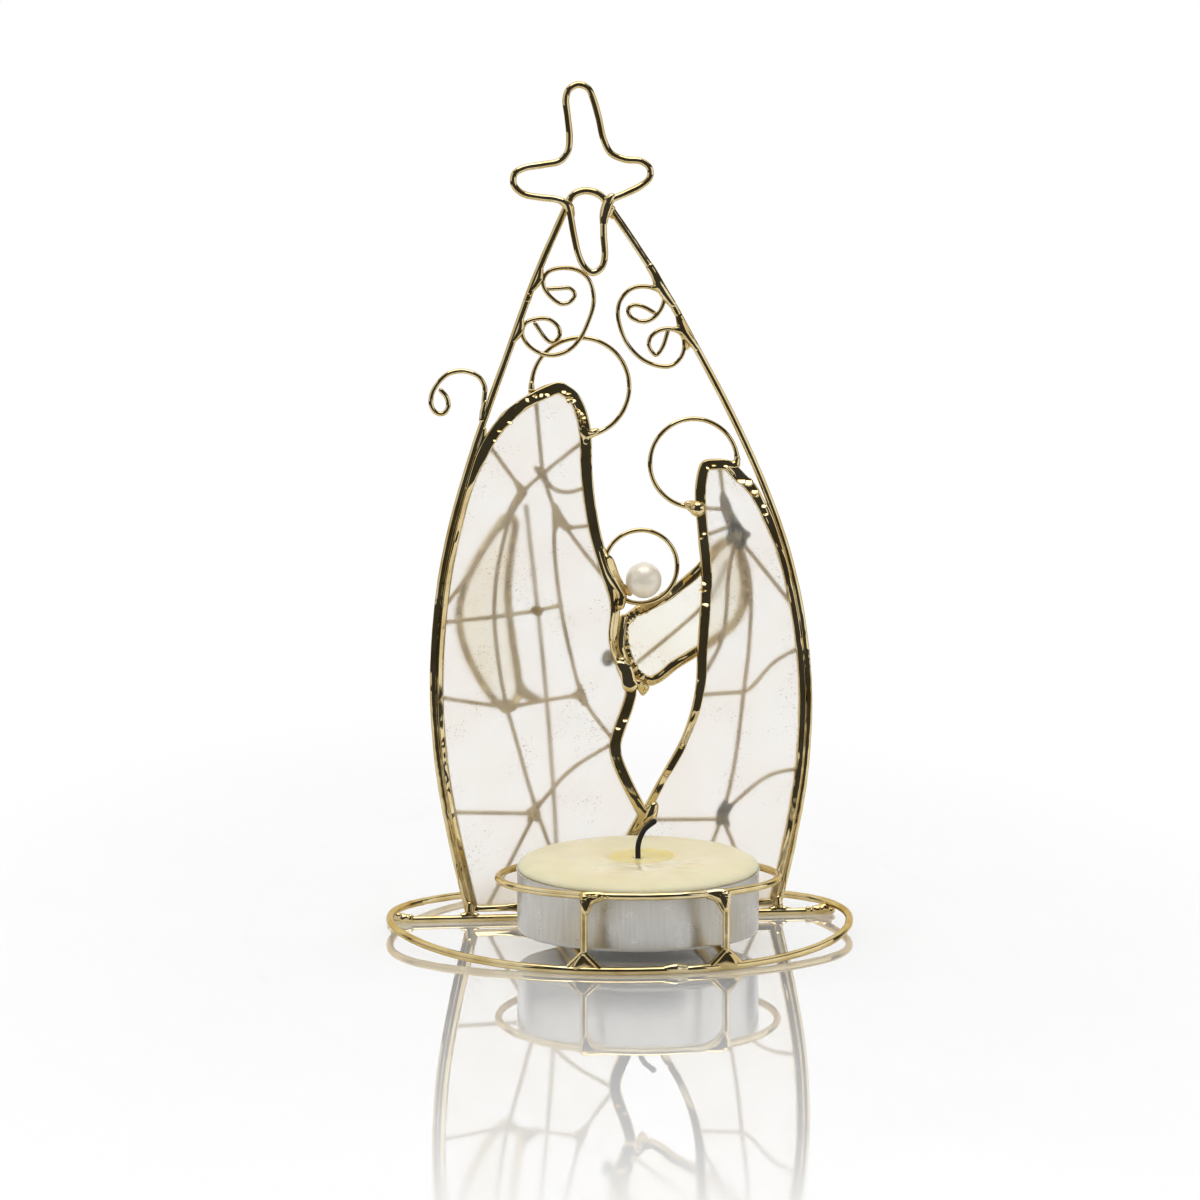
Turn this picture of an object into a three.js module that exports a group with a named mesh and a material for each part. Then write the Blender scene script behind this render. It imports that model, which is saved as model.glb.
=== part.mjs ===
// Wire and shell tealight holder: two robed figures under a pointed arch with a star,
// on a floor ring, with a tealight held in front of them.
// Millimetres. +X is right, +Y is back, +Z is up, and the origin is on the floor,
// at the middle of the base ring.
import * as THREE from 'three';

// Wire diameters
const baseRingWire = 1.2;
const barWire = 1.1;
const railWire = 1.1;
const candleRingWire = 1.0;
const archWire = 1.2;
const starWire = 1.1;
const scrollWire = 0.7;
const crookWire = 0.75;
const haloWire = 0.75;
const traceryWire = 0.66;

// Clearances
const jointGap = 0.25; // between soldered neighbours
const shellPlay = 0.15; // around a shell panel inside its came
const restGap = 0.2; // under what only rests in place
const cupPlay = 2.5; // between the tealight and its ring
const panelClearance = 1.6; // between the candle ring and the panels

// Base and candle seat
const baseRingRadius = 37.1;
const bowPower = 4; // how steeply the base ring rises towards its sides
const candleX = 1.1;
const postSpacing = 21.8;
const railBend = 1.3;
const barForward = 0.8; // how far the bar lies in front of the panels' middle
const candleRingHeight = 11.2;
const candleRingTilt = THREE.MathUtils.degToRad(3.4); // the front stands higher

// Tealight
const cupRadius = 19;
const cupHeight = 10.2;
const cupWall = 0.4;
const cupEdge = 1.2;
const waxPlay = 0.25;
const waxCrown = 2.0; // how far the wax stands above the cup's rim
const waxShoulder = 3; // width of the rounded edge
const waxPool = 12; // radius of the hollow melted round the wick
const waxDip = 0.7; // depth of that hollow
const wickDiameter = 1.0;
const wickRise = 5.8; // what stands out of the wax
const wickUpright = 4.8; // how far it stands straight before it leans
const wickLean = 2.5;
const tabRadius = 6;
const tabThickness = 0.3;

// Shell panels and the came round them
const cameWidth = 1.6;
const cameDepth = 1.6;
const armCameWidth = 1.2;
const shellThickness = 0.7;

// Arch: half widths at heights, about an axis that leans to the left as it rises
const archProfile = [
  [13, 28.3],
  [25, 30.3],
  [37, 30.95],
  [48, 30.25],
  [58, 28.6],
  [68, 25.8],
  [80, 21.3],
  [92, 16],
  [104, 10.4],
  [113.5, 5.2],
  [117.3, 2.6],
];
const archFootHalfWidth = 25.6;
const archTipRise = 1.5; // of the round tip above the last of those heights
const archTop = archProfile.at(-1)[0] + archTipRise;
const archFootX = 2;
const archLean = 6.3; // at the top
const archLeanPower = 2.5;

// Figures: where each panel leaves the arch, its peak and its inner edge
const leftShoulderHeight = 70;
const leftShoulderPull = 12.5; // how long the shoulder keeps the arch's direction
const leftPeak = [-8.7, 87.4];
const leftPeakPull = [-6.4, -2.4]; // how the shoulder comes to the peak
const leftInnerEdge = [
  [-6.3, 85.6],
  [-4.6, 81],
  [-4.2, 73],
  [-3, 64.3],
  [-1.2, 57.6],
  [0.5, 52],
  [0.2, 46],
  [1.8, 41],
  [3, 38],
  [1.4, 33],
  [0.5, 27.8],
  [2.4, 23],
];
const rightShoulderHeight = 64;
const rightShoulderPull = 8.5;
const rightPeak = [17.5, 74.9];
const rightPeakPull = [3.8, -0.8];
const rightInnerEdge = [
  [8.6, 21.3],
  [12.2, 28.8],
  [14.4, 36],
  [15, 46],
  [15.6, 56],
  [14.8, 65],
  [14.6, 71],
  [15.5, 74.3],
];
const meetingPoint = [6.3, 17]; // where the two inner edges come together
const meetingFootX = -2.5;

// Arms: outlines of the two sleeves behind the figures
const rightArmOutline = [
  [2.4, 45.7],
  [3.7, 49.2],
  [8.9, 52.6],
  [14.7, 57.1],
  [18.4, 61.4],
  [20.4, 61.9],
  [21.8, 58.5],
  [22.3, 52.5],
  [20.6, 48.3],
  [14.6, 43.8],
  [10.8, 41.5],
  [7.9, 39.3],
  [6.2, 39],
  [4.1, 41],
];
const rightArmCrease = [
  [4.8, 41.9],
  [14.9, 50.4],
  [17.3, 53.3],
  [19.6, 58.6],
];
const leftArmOutline = [
  [-19.1, 36],
  [-21.6, 39.6],
  [-23.7, 43.9],
  [-24.9, 49],
  [-24.3, 54],
  [-21.9, 59.3],
  [-18.7, 64.2],
  [-17.1, 66.2],
  [-15.8, 65.7],
  [-16.3, 60.5],
  [-16.9, 54],
  [-16.3, 47],
  [-15.4, 41],
  [-15.2, 36.8],
  [-17.2, 34.7],
];

// Halos and the child's head
const leftHaloRadius = 8;
const leftHaloFromPeak = [3.6, -0.1];
const leftHaloSpan = [190, -85].map(THREE.MathUtils.degToRad);
const rightHaloRadius = 7.2;
const rightHaloFromPeak = [-4.1, 0];
const rightHaloSpan = [-6, 280].map(THREE.MathUtils.degToRad);
const childHaloRadius = 6;
const childHaloHeight = 58;
const childHaloFromEdge = 5.5;
const childHaloSpan = [175, -175].map(THREE.MathUtils.degToRad);
const pearlRadius = 2.95;
const pearlAngle = THREE.MathUtils.degToRad(-66);

// Star: reach of the four arms, the inner corners and the blunt tips, from its middle
const starAboveArch = 2;
const starTurn = THREE.MathUtils.degToRad(5);
const starReach = { up: 15.3, right: 10.4, down: 15, left: 11.8 };
const starCorner = [3.3, 4.2];
const starTipHalfWidth = 1.75;
const starTipRound = 1.9;

// Scrolls and crook, drawn from their own origin beside the arch
const leftScrollHeight = 92;
const leftScroll = [
  [4.9, 11],
  [7, 11],
  [7.7, 10],
  [6.8, 9],
  [4.6, 9.2],
  [3, 11],
  [2.8, 12.8],
  [3.9, 14.2],
  [6.3, 14.4],
  [8.8, 13.6],
  [10.4, 11.6],
  [10.8, 9],
  [9.8, 6],
  [8, 2.6],
  [5.6, 0.7],
  [3.2, 0.4],
  [0.8, 1.7],
  [-0.5, 3.9],
  [0, 5.7],
  [2.1, 6.5],
  [4.4, 5.7],
  [5.3, 4.1],
  [4.2, 2.9],
  [2.7, 3.9],
];
const rightScrollHeight = 90.5;
const rightScroll = [
  [-5.7, 9.2],
  [-7.7, 10],
  [-9.2, 9.7],
  [-9.2, 8.6],
  [-7.7, 7.4],
  [-5.3, 7.7],
  [-3.7, 9.6],
  [-3.8, 11.7],
  [-5.4, 12.8],
  [-8, 12.9],
  [-10, 11.7],
  [-11, 9.5],
  [-10.6, 6.2],
  [-9.2, 3.2],
  [-6.7, 0.9],
  [-3.9, 0.2],
  [-1.6, 0.9],
  [-0.3, 2.8],
  [-0.3, 4.5],
  [-1.4, 6.1],
  [-3.4, 6.2],
  [-5.4, 5.4],
  [-6.1, 3.7],
  [-5.1, 2.6],
  [-3.7, 3.6],
];
const crookHeight = 82.4;
const crook = [
  [0, 0],
  [0.6, 3.2],
  [0.6, 5.5],
  [-0.2, 7.1],
  [-2.6, 7.7],
  [-5.4, 6.5],
  [-7.3, 4.2],
  [-7.7, 2.4],
  [-7, 1],
  [-5.9, 0.7],
  [-5, 1.6],
  [-5.1, 3],
];

// Tracery behind the figures: the corners of each wire. An end on the came is given by its
// height on the left or right edge, or by its x at the top or the foot.
const leftTracery = {
  left_sash_wire: [
    { right: 78.7 },
    [-11.3, 73.2],
    [-14.5, 70.3],
    [-18.9, 63.8],
    [-24.3, 55.7],
    { left: 51.6 },
  ],
  left_shoulder_wire: [{ left: 78.4 }, [-14.5, 70.3]],
  left_neck_wire: [{ top: -12.4 }, [-11.3, 73.2]],
  left_chest_wire: [[-11.3, 73.2], [-9.2, 67.3], [-6.6, 63.2], { right: 55.1 }],
  left_collar_wire: [[-10.9, 72.4], [-9.6, 70.9], [-7.4, 70.2], { right: 71 }],
  left_breast_wire: [[-7.6, 64.3], { right: 64.8 }],
  left_front_fold_wire: [
    [-9, 66.8],
    [-9.4, 62.5],
    [-8.4, 52],
    [-6.7, 43.6],
    [-4.5, 36.1],
    { right: 29 },
  ],
  left_back_fold_wire: [
    [-16.6, 67],
    [-18.8, 56.8],
    [-19.2, 49.1],
    [-17.7, 37.2],
    [-15.4, 28.5],
    [-12.5, 18.4],
    { foot: -6.5 },
  ],
  left_waist_wire_outer: [{ left: 49.1 }, [-19.2, 49.9]],
  left_waist_wire_inner: [[-19.2, 49.9], [-12.2, 50.9], [-8.4, 51.7]],
  left_knee_wire_outer: [{ left: 36.8 }, [-17.5, 35]],
  left_knee_wire_inner: [[-17.4, 34.8], [-13.2, 35.7], [-4.7, 37]],
  left_hem_wire: [{ left: 17.8 }, [-12.6, 17.4]],
  left_hem_brace_outer: [[-12.6, 17.4], { foot: -20.5 }],
  left_hem_brace_inner: [[-12.6, 18], [-6.7, 24.5], { right: 29 }],
};
const leftRearTracery = {
  left_rear_fold_wire: [[-13.9, 67.8], [-12.2, 52.5], [-10.7, 37.5], [-9.5, 21.2], { foot: -8.5 }],
};
const rightTracery = {
  right_spine_wire: [
    { top: 17.8 },
    [18.8, 68.2],
    [20.9, 62.6],
    [22.9, 56.1],
    [23, 46.5],
    [22, 37.1],
    [20.6, 25.7],
    [18.6, 17],
    { foot: 13 },
  ],
  right_collar_wire: [{ left: 67.5 }, [18.9, 67.2]],
  right_chest_wire: [{ left: 62.8 }, [20.2, 64.6]],
  right_shoulder_wire: [[21, 62.6], { right: 51.5 }],
  right_front_fold_wire: [[20.6, 63.4], [19.4, 56.1], [19, 49.8], [18.2, 45.3], { left: 38.6 }],
  right_knee_wire_inner: [{ left: 36.6 }, [22, 37]],
  right_knee_wire_outer: [[22, 37], [23.2, 37.7], [27.1, 41.9], { right: 44.1 }],
  right_hem_wire_inner: [{ left: 16 }, [18.5, 15.9]],
  right_hem_wire_outer: [[18.8, 17.2], [26.2, 23], { right: 24.1 }],
  right_hem_brace: [[18.3, 16.4], { foot: 24.5 }],
};

// Fineness of the curves
const archStep = 2.4;
const archTraceStep = 1; // for what is set against the arch
const legStep = 4;
const innerEdgeStep = 2.2;
const traceryStep = 4;
const armStep = 1.95;
const starStep = 1.8;
const scrollStep = 1.3;
const haloStep = 2;
const trimStep = 0.1; // for cutting ends to length
const shoulderSteps = 8;
const bendSteps = 4;
const cupEdgeSteps = 3;
const waxSteps = 4;
const wickSteps = 6;
const candleFaces = 36;
const baseRingFaces = 48;
const pearlFaces = [18, 12];
const frameSides = 8; // of the wires that carry the holder
const wireSides = 6;
const scrollSides = 5;

// Colours
const goldLook = { color: 0xd8c48c, metalness: 1, roughness: 0.18 };
const shellLook = { color: 0xf0ebe2, metalness: 0, roughness: 0.35 };
const aluminiumLook = { color: 0xb9b9b7, metalness: 1, roughness: 0.35 };
const waxLook = { color: 0xe8deb9, metalness: 0, roughness: 0.45 };
const nacreLook = { color: 0xebe8e4, metalness: 0, roughness: 0.15 };
const charLook = { color: 0x1c1712, metalness: 0, roughness: 0.9 };

const holder = new THREE.Group();

function addPiece(name, geometry, look) {
  const mesh = new THREE.Mesh(geometry, new THREE.MeshStandardMaterial(look));
  mesh.name = name;
  holder.add(mesh);
  return mesh;
}

// Regular section of a round wire, with its flats at the wire's radius
function roundSection(diameter, sides) {
  const corner = diameter / 2 / Math.cos(Math.PI / sides);
  return Array.from({ length: sides }, (_, k) => {
    const angle = ((k + 0.5) * 2 * Math.PI) / sides;
    return [corner * Math.cos(angle), corner * Math.sin(angle)];
  });
}

// Solid made by carrying a section along a path, mitred where the path turns.
// A section point is its reach to the path's side and along the normal of the path's plane.
function sweep(path, section, normal, closed) {
  const last = path.length - 1;
  const sides = section.length;
  const positions = [];
  const triangles = [];
  path.forEach((point, i) => {
    const before = path[closed && i === 0 ? last : Math.max(i - 1, 0)];
    const after = path[closed && i === last ? 0 : Math.min(i + 1, last)];
    const leaving = after.clone().sub(point).normalize();
    const arriving = point.clone().sub(before).normalize();
    const along = leaving.clone().add(arriving).normalize();
    const side = along.clone().cross(normal).normalize();
    const turn = Math.max(along.dot(leaving), along.dot(arriving));
    for (const [reach, rise] of section) {
      const corner = point.clone().addScaledVector(side, reach / turn).addScaledVector(normal, rise);
      positions.push(corner.x, corner.y, corner.z);
    }
  });
  for (let i = 0; i < (closed ? path.length : last); i += 1) {
    const here = i * sides;
    const next = ((i + 1) % path.length) * sides;
    for (let j = 0; j < sides; j += 1) {
      const k = (j + 1) % sides;
      triangles.push(here + j, next + j, next + k, here + j, next + k, here + k);
    }
  }
  for (let j = 1; !closed && j < sides - 1; j += 1) {
    const end = last * sides;
    triangles.push(0, j, j + 1, end, end + j + 1, end + j);
  }
  const geometry = new THREE.BufferGeometry();
  geometry.setAttribute('position', new THREE.Float32BufferAttribute(positions, 3));
  geometry.setIndex(triangles);
  geometry.computeVertexNormals();
  return geometry;
}

const right = new THREE.Vector3(1, 0, 0);
const back = new THREE.Vector3(0, 1, 0);
const up = new THREE.Vector3(0, 0, 1);

// Outlines of the upright pieces are lists of [x, z]
function evenSteps(outline, step, closed = false) {
  const corners = outline.map(([x, z]) => new THREE.Vector3(x, 0, z));
  const curve = new THREE.CatmullRomCurve3(corners, closed, 'centripetal');
  const count = Math.max(2, Math.round(curve.getLength() / step));
  const points = curve.getSpacedPoints(count).map(({ x, z }) => [x, z]);
  return closed ? points.slice(0, -1) : points;
}

function moved(outline, dx, dz) {
  return outline.map(([x, z]) => [x + dx, z + dz]);
}

function arc([x, z], radius, from, to, step) {
  const count = Math.ceil((Math.abs(to - from) * radius) / step);
  return Array.from({ length: count + 1 }, (_, k) => {
    const angle = from + ((to - from) * k) / count;
    return [x + radius * Math.cos(angle), z + radius * Math.sin(angle)];
  });
}

function distanceToSegment([x, z], [x0, z0], [x1, z1]) {
  const length2 = (x1 - x0) ** 2 + (z1 - z0) ** 2;
  const share = ((x - x0) * (x1 - x0) + (z - z0) * (z1 - z0)) / length2;
  const t = Math.min(1, Math.max(0, share));
  return Math.hypot(x - x0 - t * (x1 - x0), z - z0 - t * (z1 - z0));
}

function distanceToPath(point, path) {
  let least = Infinity;
  for (let i = 1; i < path.length; i += 1) {
    least = Math.min(least, distanceToSegment(point, path[i - 1], path[i]));
  }
  return least;
}

// Shortens a path at its two ends until they stand clear of the neighbours they run into
function endsClear(path, neighbours) {
  const blocked = path.map((point) =>
    neighbours.some(({ path: other, reach }) => distanceToPath(point, other) < reach));
  const middle = Math.floor(path.length / 2);
  const start = blocked.lastIndexOf(true, middle) + 1;
  const stop = blocked.indexOf(true, middle + 1);
  return path.slice(start, stop < 0 ? path.length : stop);
}

function uprightWire(name, path, diameter, sides, y, closed = false) {
  const points = path.map(([x, z]) => new THREE.Vector3(x, y, z));
  addPiece(name, sweep(points, roundSection(diameter, sides), back, closed), goldLook);
}

// Depths of the layers, worked out from the base and the candle ring
const candleRingRadius = cupRadius + cupPlay + candleRingWire / 2;
const postY = -Math.sqrt(baseRingRadius ** 2 - (postSpacing / 2) ** 2);
const postFromCandle = candleRingRadius + (candleRingWire + railWire) / 2 + jointGap;
const candleY = postY + Math.sqrt(postFromCandle ** 2 - (postSpacing / 2) ** 2);
const candleRingBack = candleY + candleRingRadius + candleRingWire / 2;
const panelY = candleRingBack + panelClearance + cameDepth / 2;
const barY = panelY - barForward;
const starY = panelY - (archWire + starWire) / 2 - jointGap;
const leftHaloY = panelY + (haloWire + scrollWire) / 2 + jointGap;
const traceryY = panelY + cameDepth / 2 + jointGap + traceryWire / 2;
const rearTraceryY = traceryY + traceryWire + jointGap;
const armY = traceryY + traceryWire / 2 + jointGap + cameDepth / 2;
const armCreaseY = armY + cameDepth / 2 + jointGap + traceryWire / 2;

// Base ring: it bows up at both sides, over the ends of the bar that lies on the floor
const barCrossing = Math.sqrt(1 - (barY / baseRingRadius) ** 2);
const baseRingBow = (barWire + jointGap) / barCrossing ** bowPower;
const baseRingPath = Array.from({ length: baseRingFaces }, (_, k) => {
  const angle = (k * 2 * Math.PI) / baseRingFaces;
  const rise = baseRingWire / 2 + baseRingBow * Math.cos(angle) ** bowPower;
  return new THREE.Vector3(baseRingRadius * Math.cos(angle), baseRingRadius * Math.sin(angle), rise);
});
addPiece('base_ring', sweep(baseRingPath, roundSection(baseRingWire, frameSides), up, true), goldLook);

// Cross bar: its ends are flush with the outside of the base ring
const barHalfLength = Math.sqrt((baseRingRadius + baseRingWire / 2) ** 2 - barY ** 2);
const barEnds = [-barHalfLength, barHalfLength].map((x) => new THREE.Vector3(x, barY, barWire / 2));
addPiece('cross_bar', sweep(barEnds, roundSection(barWire, frameSides), up, false), goldLook);

// Rails that carry the tealight: each lies on the base ring and the bar and turns up as a post
const railZ = Math.max(baseRingWire, barWire) + jointGap + railWire / 2;
const railEndY = panelY - cameDepth / 2 - jointGap;
const postTop = candleRingHeight + (candleY - postY) * Math.tan(candleRingTilt) + candleRingWire / 2;
const railProfile = [[railEndY, railZ]];
for (let k = 0; k <= bendSteps; k += 1) {
  const angle = (k * Math.PI) / 2 / bendSteps;
  railProfile.push([postY + railBend * (1 - Math.sin(angle)), railZ + railBend * (1 - Math.cos(angle))]);
}
railProfile.push([postY, postTop]);
for (const [name, x] of [
  ['left_rail_and_post', candleX - postSpacing / 2],
  ['right_rail_and_post', candleX + postSpacing / 2],
]) {
  const path = railProfile.map(([y, z]) => new THREE.Vector3(x, y, z));
  addPiece(name, sweep(path, roundSection(railWire, frameSides), right, false), goldLook);
}

// Candle ring, a little higher at the front
const candleRingPath = Array.from({ length: candleFaces }, (_, k) => {
  const angle = (k * 2 * Math.PI) / candleFaces;
  const toBack = candleRingRadius * Math.sin(angle);
  return new THREE.Vector3(
    candleX + candleRingRadius * Math.cos(angle),
    candleY + toBack * Math.cos(candleRingTilt),
    candleRingHeight - toBack * Math.sin(candleRingTilt),
  );
});
const candleRingNormal = up.clone().applyAxisAngle(right, -candleRingTilt);
const candleRingSection = roundSection(candleRingWire, wireSides);
addPiece('candle_ring', sweep(candleRingPath, candleRingSection, candleRingNormal, true), goldLook);

// Tealight: an aluminium cup, the wax in it, and the wick on its tab
function turned(name, profile, look, z) {
  const points = profile.map(([radius, height]) => new THREE.Vector2(radius, height));
  const geometry = new THREE.LatheGeometry(points, candleFaces);
  geometry.rotateX(Math.PI / 2);
  addPiece(name, geometry, look).position.set(candleX, candleY, z);
}

const cupBottom = railZ + railWire / 2 + restGap;
const cupProfile = [[0, 0]];
for (let k = 0; k <= cupEdgeSteps; k += 1) {
  const angle = (k * Math.PI) / 2 / cupEdgeSteps;
  cupProfile.push([cupRadius - cupEdge * (1 - Math.sin(angle)), cupEdge * (1 - Math.cos(angle))]);
}
cupProfile.push([cupRadius, cupHeight]);
cupProfile.push([cupRadius - cupWall, cupHeight]);
cupProfile.push([cupRadius - cupWall, cupEdge]);
cupProfile.push([cupRadius - cupEdge, cupWall]);
cupProfile.push([0, cupWall]);
turned('tealight_cup', cupProfile, aluminiumLook, cupBottom);

const waxRadius = cupRadius - cupWall - waxPlay;
const waxBottom = cupWall + restGap;
const waxTop = cupHeight + waxCrown;
const waxMiddle = waxTop - waxDip;
const boreRadius = wickDiameter / 2 + waxPlay;
const recessRadius = tabRadius + waxPlay;
const recessTop = waxBottom + tabThickness + waxPlay;
const waxProfile = [
  [recessRadius, waxBottom],
  [waxRadius - cupEdge, waxBottom],
  [waxRadius, waxBottom + cupEdge],
];
for (let k = 0; k <= waxSteps; k += 1) {
  const angle = (k * Math.PI) / 2 / waxSteps;
  waxProfile.push([
    waxRadius - waxShoulder * (1 - Math.cos(angle)),
    cupHeight + waxCrown * Math.sin(angle),
  ]);
}
for (let k = 0; k <= waxSteps; k += 1) {
  const share = k / waxSteps;
  waxProfile.push([
    waxPool + (boreRadius - waxPool) * share,
    waxTop - (waxDip * (1 - Math.cos(share * Math.PI))) / 2,
  ]);
}
waxProfile.push([boreRadius, recessTop]);
waxProfile.push([recessRadius, recessTop]);
waxProfile.push([recessRadius, waxBottom]);
turned('candle_wax', waxProfile, waxLook, cupBottom);

const tabTop = waxBottom + tabThickness;
const tabProfile = [
  [0, waxBottom],
  [tabRadius, waxBottom],
  [tabRadius, tabTop],
  [0, tabTop],
];
turned('wick_tab', tabProfile, aluminiumLook, cupBottom);

const wickBottom = cupBottom + tabTop + restGap / 2;
const wickFoot = cupBottom + waxMiddle;
const wickCurve = new THREE.QuadraticBezierCurve(
  new THREE.Vector2(candleX, wickFoot),
  new THREE.Vector2(candleX, wickFoot + wickUpright),
  new THREE.Vector2(candleX + wickLean, wickFoot + wickRise),
);
const wickPath = [[candleX, wickBottom], ...wickCurve.getPoints(wickSteps).map(({ x, y }) => [x, y])];
const wickPoints = wickPath.map(([x, z]) => new THREE.Vector3(x, candleY, z));
addPiece('wick', sweep(wickPoints, roundSection(wickDiameter, wireSides), back, false), charLook);

// Outer arch: one wire from foot to foot
function archAxis(height) {
  return archFootX - archLean * (height / archTop) ** archLeanPower;
}
const archFootZ = barWire + jointGap;
function archLeg(side) {
  const foot = [archAxis(archFootZ) + side * archFootHalfWidth, archFootZ];
  return [foot, ...archProfile.map(([height, half]) => [archAxis(height) + side * half, height])];
}
const archApex = [archAxis(archTop), archTop];
const archCorners = [...archLeg(-1), archApex, ...archLeg(1).reverse()];
const archFine = evenSteps(archCorners, archTraceStep);
uprightWire('outer_arch', evenSteps(archCorners, archStep), archWire, wireSides, panelY);

// The came's middle line where a panel runs along the inside of the arch
const cameFromArch = archWire / 2 + jointGap + cameWidth / 2;
function besideArch(side) {
  return archFine
    .map(([x, z], i) => {
      const [x0, z0] = archFine[Math.max(i - 1, 0)];
      const [x1, z1] = archFine[Math.min(i + 1, archFine.length - 1)];
      const length = Math.hypot(x1 - x0, z1 - z0);
      return [x + ((z1 - z0) / length) * cameFromArch, z - ((x1 - x0) / length) * cameFromArch, x];
    })
    .filter(([, z, archX]) => side * (archX - archAxis(z)) > 0);
}
function crossingAt(path, height) {
  for (let i = 1; i < path.length; i += 1) {
    const [x0, z0] = path[i - 1];
    const [x1, z1] = path[i];
    if ((z0 - height) * (z1 - height) <= 0 && z0 !== z1) {
      return [x0 + ((x1 - x0) * (height - z0)) / (z1 - z0), height];
    }
  }
  return path[0];
}
function legEdge(side, from, to) {
  const path = besideArch(side);
  const count = Math.ceil(Math.abs(to - from) / legStep);
  return Array.from({ length: count + 1 }, (_, k) => crossingAt(path, from + ((to - from) * k) / count));
}

// A shoulder: a curve that leaves the arch along it and reaches the peak nearly level
function shoulder(edge, peak, archPull, peakPull) {
  const [[x0, z0], [x1, z1]] = edge.slice(-2);
  const length = Math.hypot(x1 - x0, z1 - z0);
  const curve = new THREE.CubicBezierCurve(
    new THREE.Vector2(x1, z1),
    new THREE.Vector2(x1 + ((x1 - x0) / length) * archPull, z1 + ((z1 - z0) / length) * archPull),
    new THREE.Vector2(peak[0] + peakPull[0], peak[1] + peakPull[1]),
    new THREE.Vector2(...peak),
  );
  return curve.getPoints(shoulderSteps).slice(1).map(({ x, y }) => [x, y]);
}

// The two panels meet along a slanted line below the meeting point, half a came to either side
const cameFootZ = barWire + jointGap + cameWidth / 2;
const meetingRun = [meetingFootX - meetingPoint[0], cameFootZ - meetingPoint[1]];
const meetingLength = Math.hypot(...meetingRun);
const meetingHalf = (cameWidth + jointGap) / 2;
const meetingSide = [-meetingRun[1] / meetingLength, meetingRun[0] / meetingLength];
const footShift = meetingHalf / meetingSide[0];
const leftMeeting = moved([meetingPoint], -meetingSide[0] * meetingHalf, -meetingSide[1] * meetingHalf)[0];
const rightMeeting = moved([meetingPoint], meetingSide[0] * meetingHalf, meetingSide[1] * meetingHalf)[0];

// Outlines run clockwise as seen from the front, from the lower left corner
const leftLegEdge = legEdge(-1, cameFootZ, leftShoulderHeight);
const leftBody = [
  ...leftLegEdge,
  ...shoulder(leftLegEdge, leftPeak, leftShoulderPull, leftPeakPull).slice(0, -1),
  ...evenSteps([leftPeak, ...leftInnerEdge, leftMeeting], innerEdgeStep),
  [meetingFootX - footShift, cameFootZ],
];
const rightLegEdge = legEdge(1, cameFootZ, rightShoulderHeight);
const rightBody = [
  [meetingFootX + footShift, cameFootZ],
  ...evenSteps([rightMeeting, ...rightInnerEdge, rightPeak], innerEdgeStep).slice(0, -1),
  ...shoulder(rightLegEdge, rightPeak, rightShoulderPull, rightPeakPull).reverse(),
  ...rightLegEdge.reverse(),
];

// Came: a channel bent round the panel's outline, open towards the panel
function addCame(name, outline, width, y) {
  const lip = shellThickness / 2 + shellPlay;
  const section = [
    [-width / 2, -cameDepth / 2],
    [width / 2, -cameDepth / 2],
    [width / 2, cameDepth / 2],
    [-width / 2, cameDepth / 2],
    [-width / 2, lip],
    [shellPlay, lip],
    [shellPlay, -lip],
    [-width / 2, -lip],
  ];
  const path = outline.map(([x, z]) => new THREE.Vector3(x, y, z));
  addPiece(name, sweep(path, section, back, true), goldLook);
}

// Shell panel: its edge lies on the came's middle line, inside the channel
function addShell(name, outline, y) {
  const shape = new THREE.Shape(outline.map(([x, z]) => new THREE.Vector2(x, z)));
  const geometry = new THREE.ExtrudeGeometry(shape, { depth: shellThickness, bevelEnabled: false });
  geometry.rotateX(Math.PI / 2);
  addPiece(name, geometry, shellLook).position.set(0, y + shellThickness / 2, 0);
}

addCame('left_figure_came', leftBody, cameWidth, panelY);
addShell('left_figure_shell', leftBody, panelY);
addCame('right_figure_came', rightBody, cameWidth, panelY);
addShell('right_figure_shell', rightBody, panelY);

const leftArm = evenSteps(leftArmOutline, armStep, true);
const rightArm = evenSteps(rightArmOutline, armStep, true);
addCame('left_arm_came', leftArm, armCameWidth, armY);
addShell('left_arm_shell', leftArm, armY);
addCame('right_arm_came', rightArm, armCameWidth, armY);
addShell('right_arm_shell', rightArm, armY);
const creasePath = evenSteps(rightArmCrease, traceryStep);
uprightWire('right_arm_crease_wire', creasePath, traceryWire, wireSides, armCreaseY);

// Star in front of the arch's point
function starOutline([x, z]) {
  const arms = [
    [0, starReach.right, starCorner],
    [Math.PI / 2, starReach.up, [starCorner[1], starCorner[0]]],
    [Math.PI, starReach.left, starCorner],
    [-Math.PI / 2, starReach.down, [starCorner[1], starCorner[0]]],
  ];
  return arms.flatMap(([angle, reach, [out, across]]) =>
    [
      [out, -across],
      [reach - starTipRound, -starTipHalfWidth],
      [reach, 0],
      [reach - starTipRound, starTipHalfWidth],
    ].map(([along, side]) => {
      const spoke = angle + starTurn;
      return [
        x + along * Math.cos(spoke) - side * Math.sin(spoke),
        z + along * Math.sin(spoke) + side * Math.cos(spoke),
      ];
    }));
}
const starPath = evenSteps(starOutline([archApex[0], archApex[1] + starAboveArch]), starStep, true);
uprightWire('star', starPath, starWire, wireSides, starY, true);

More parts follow.
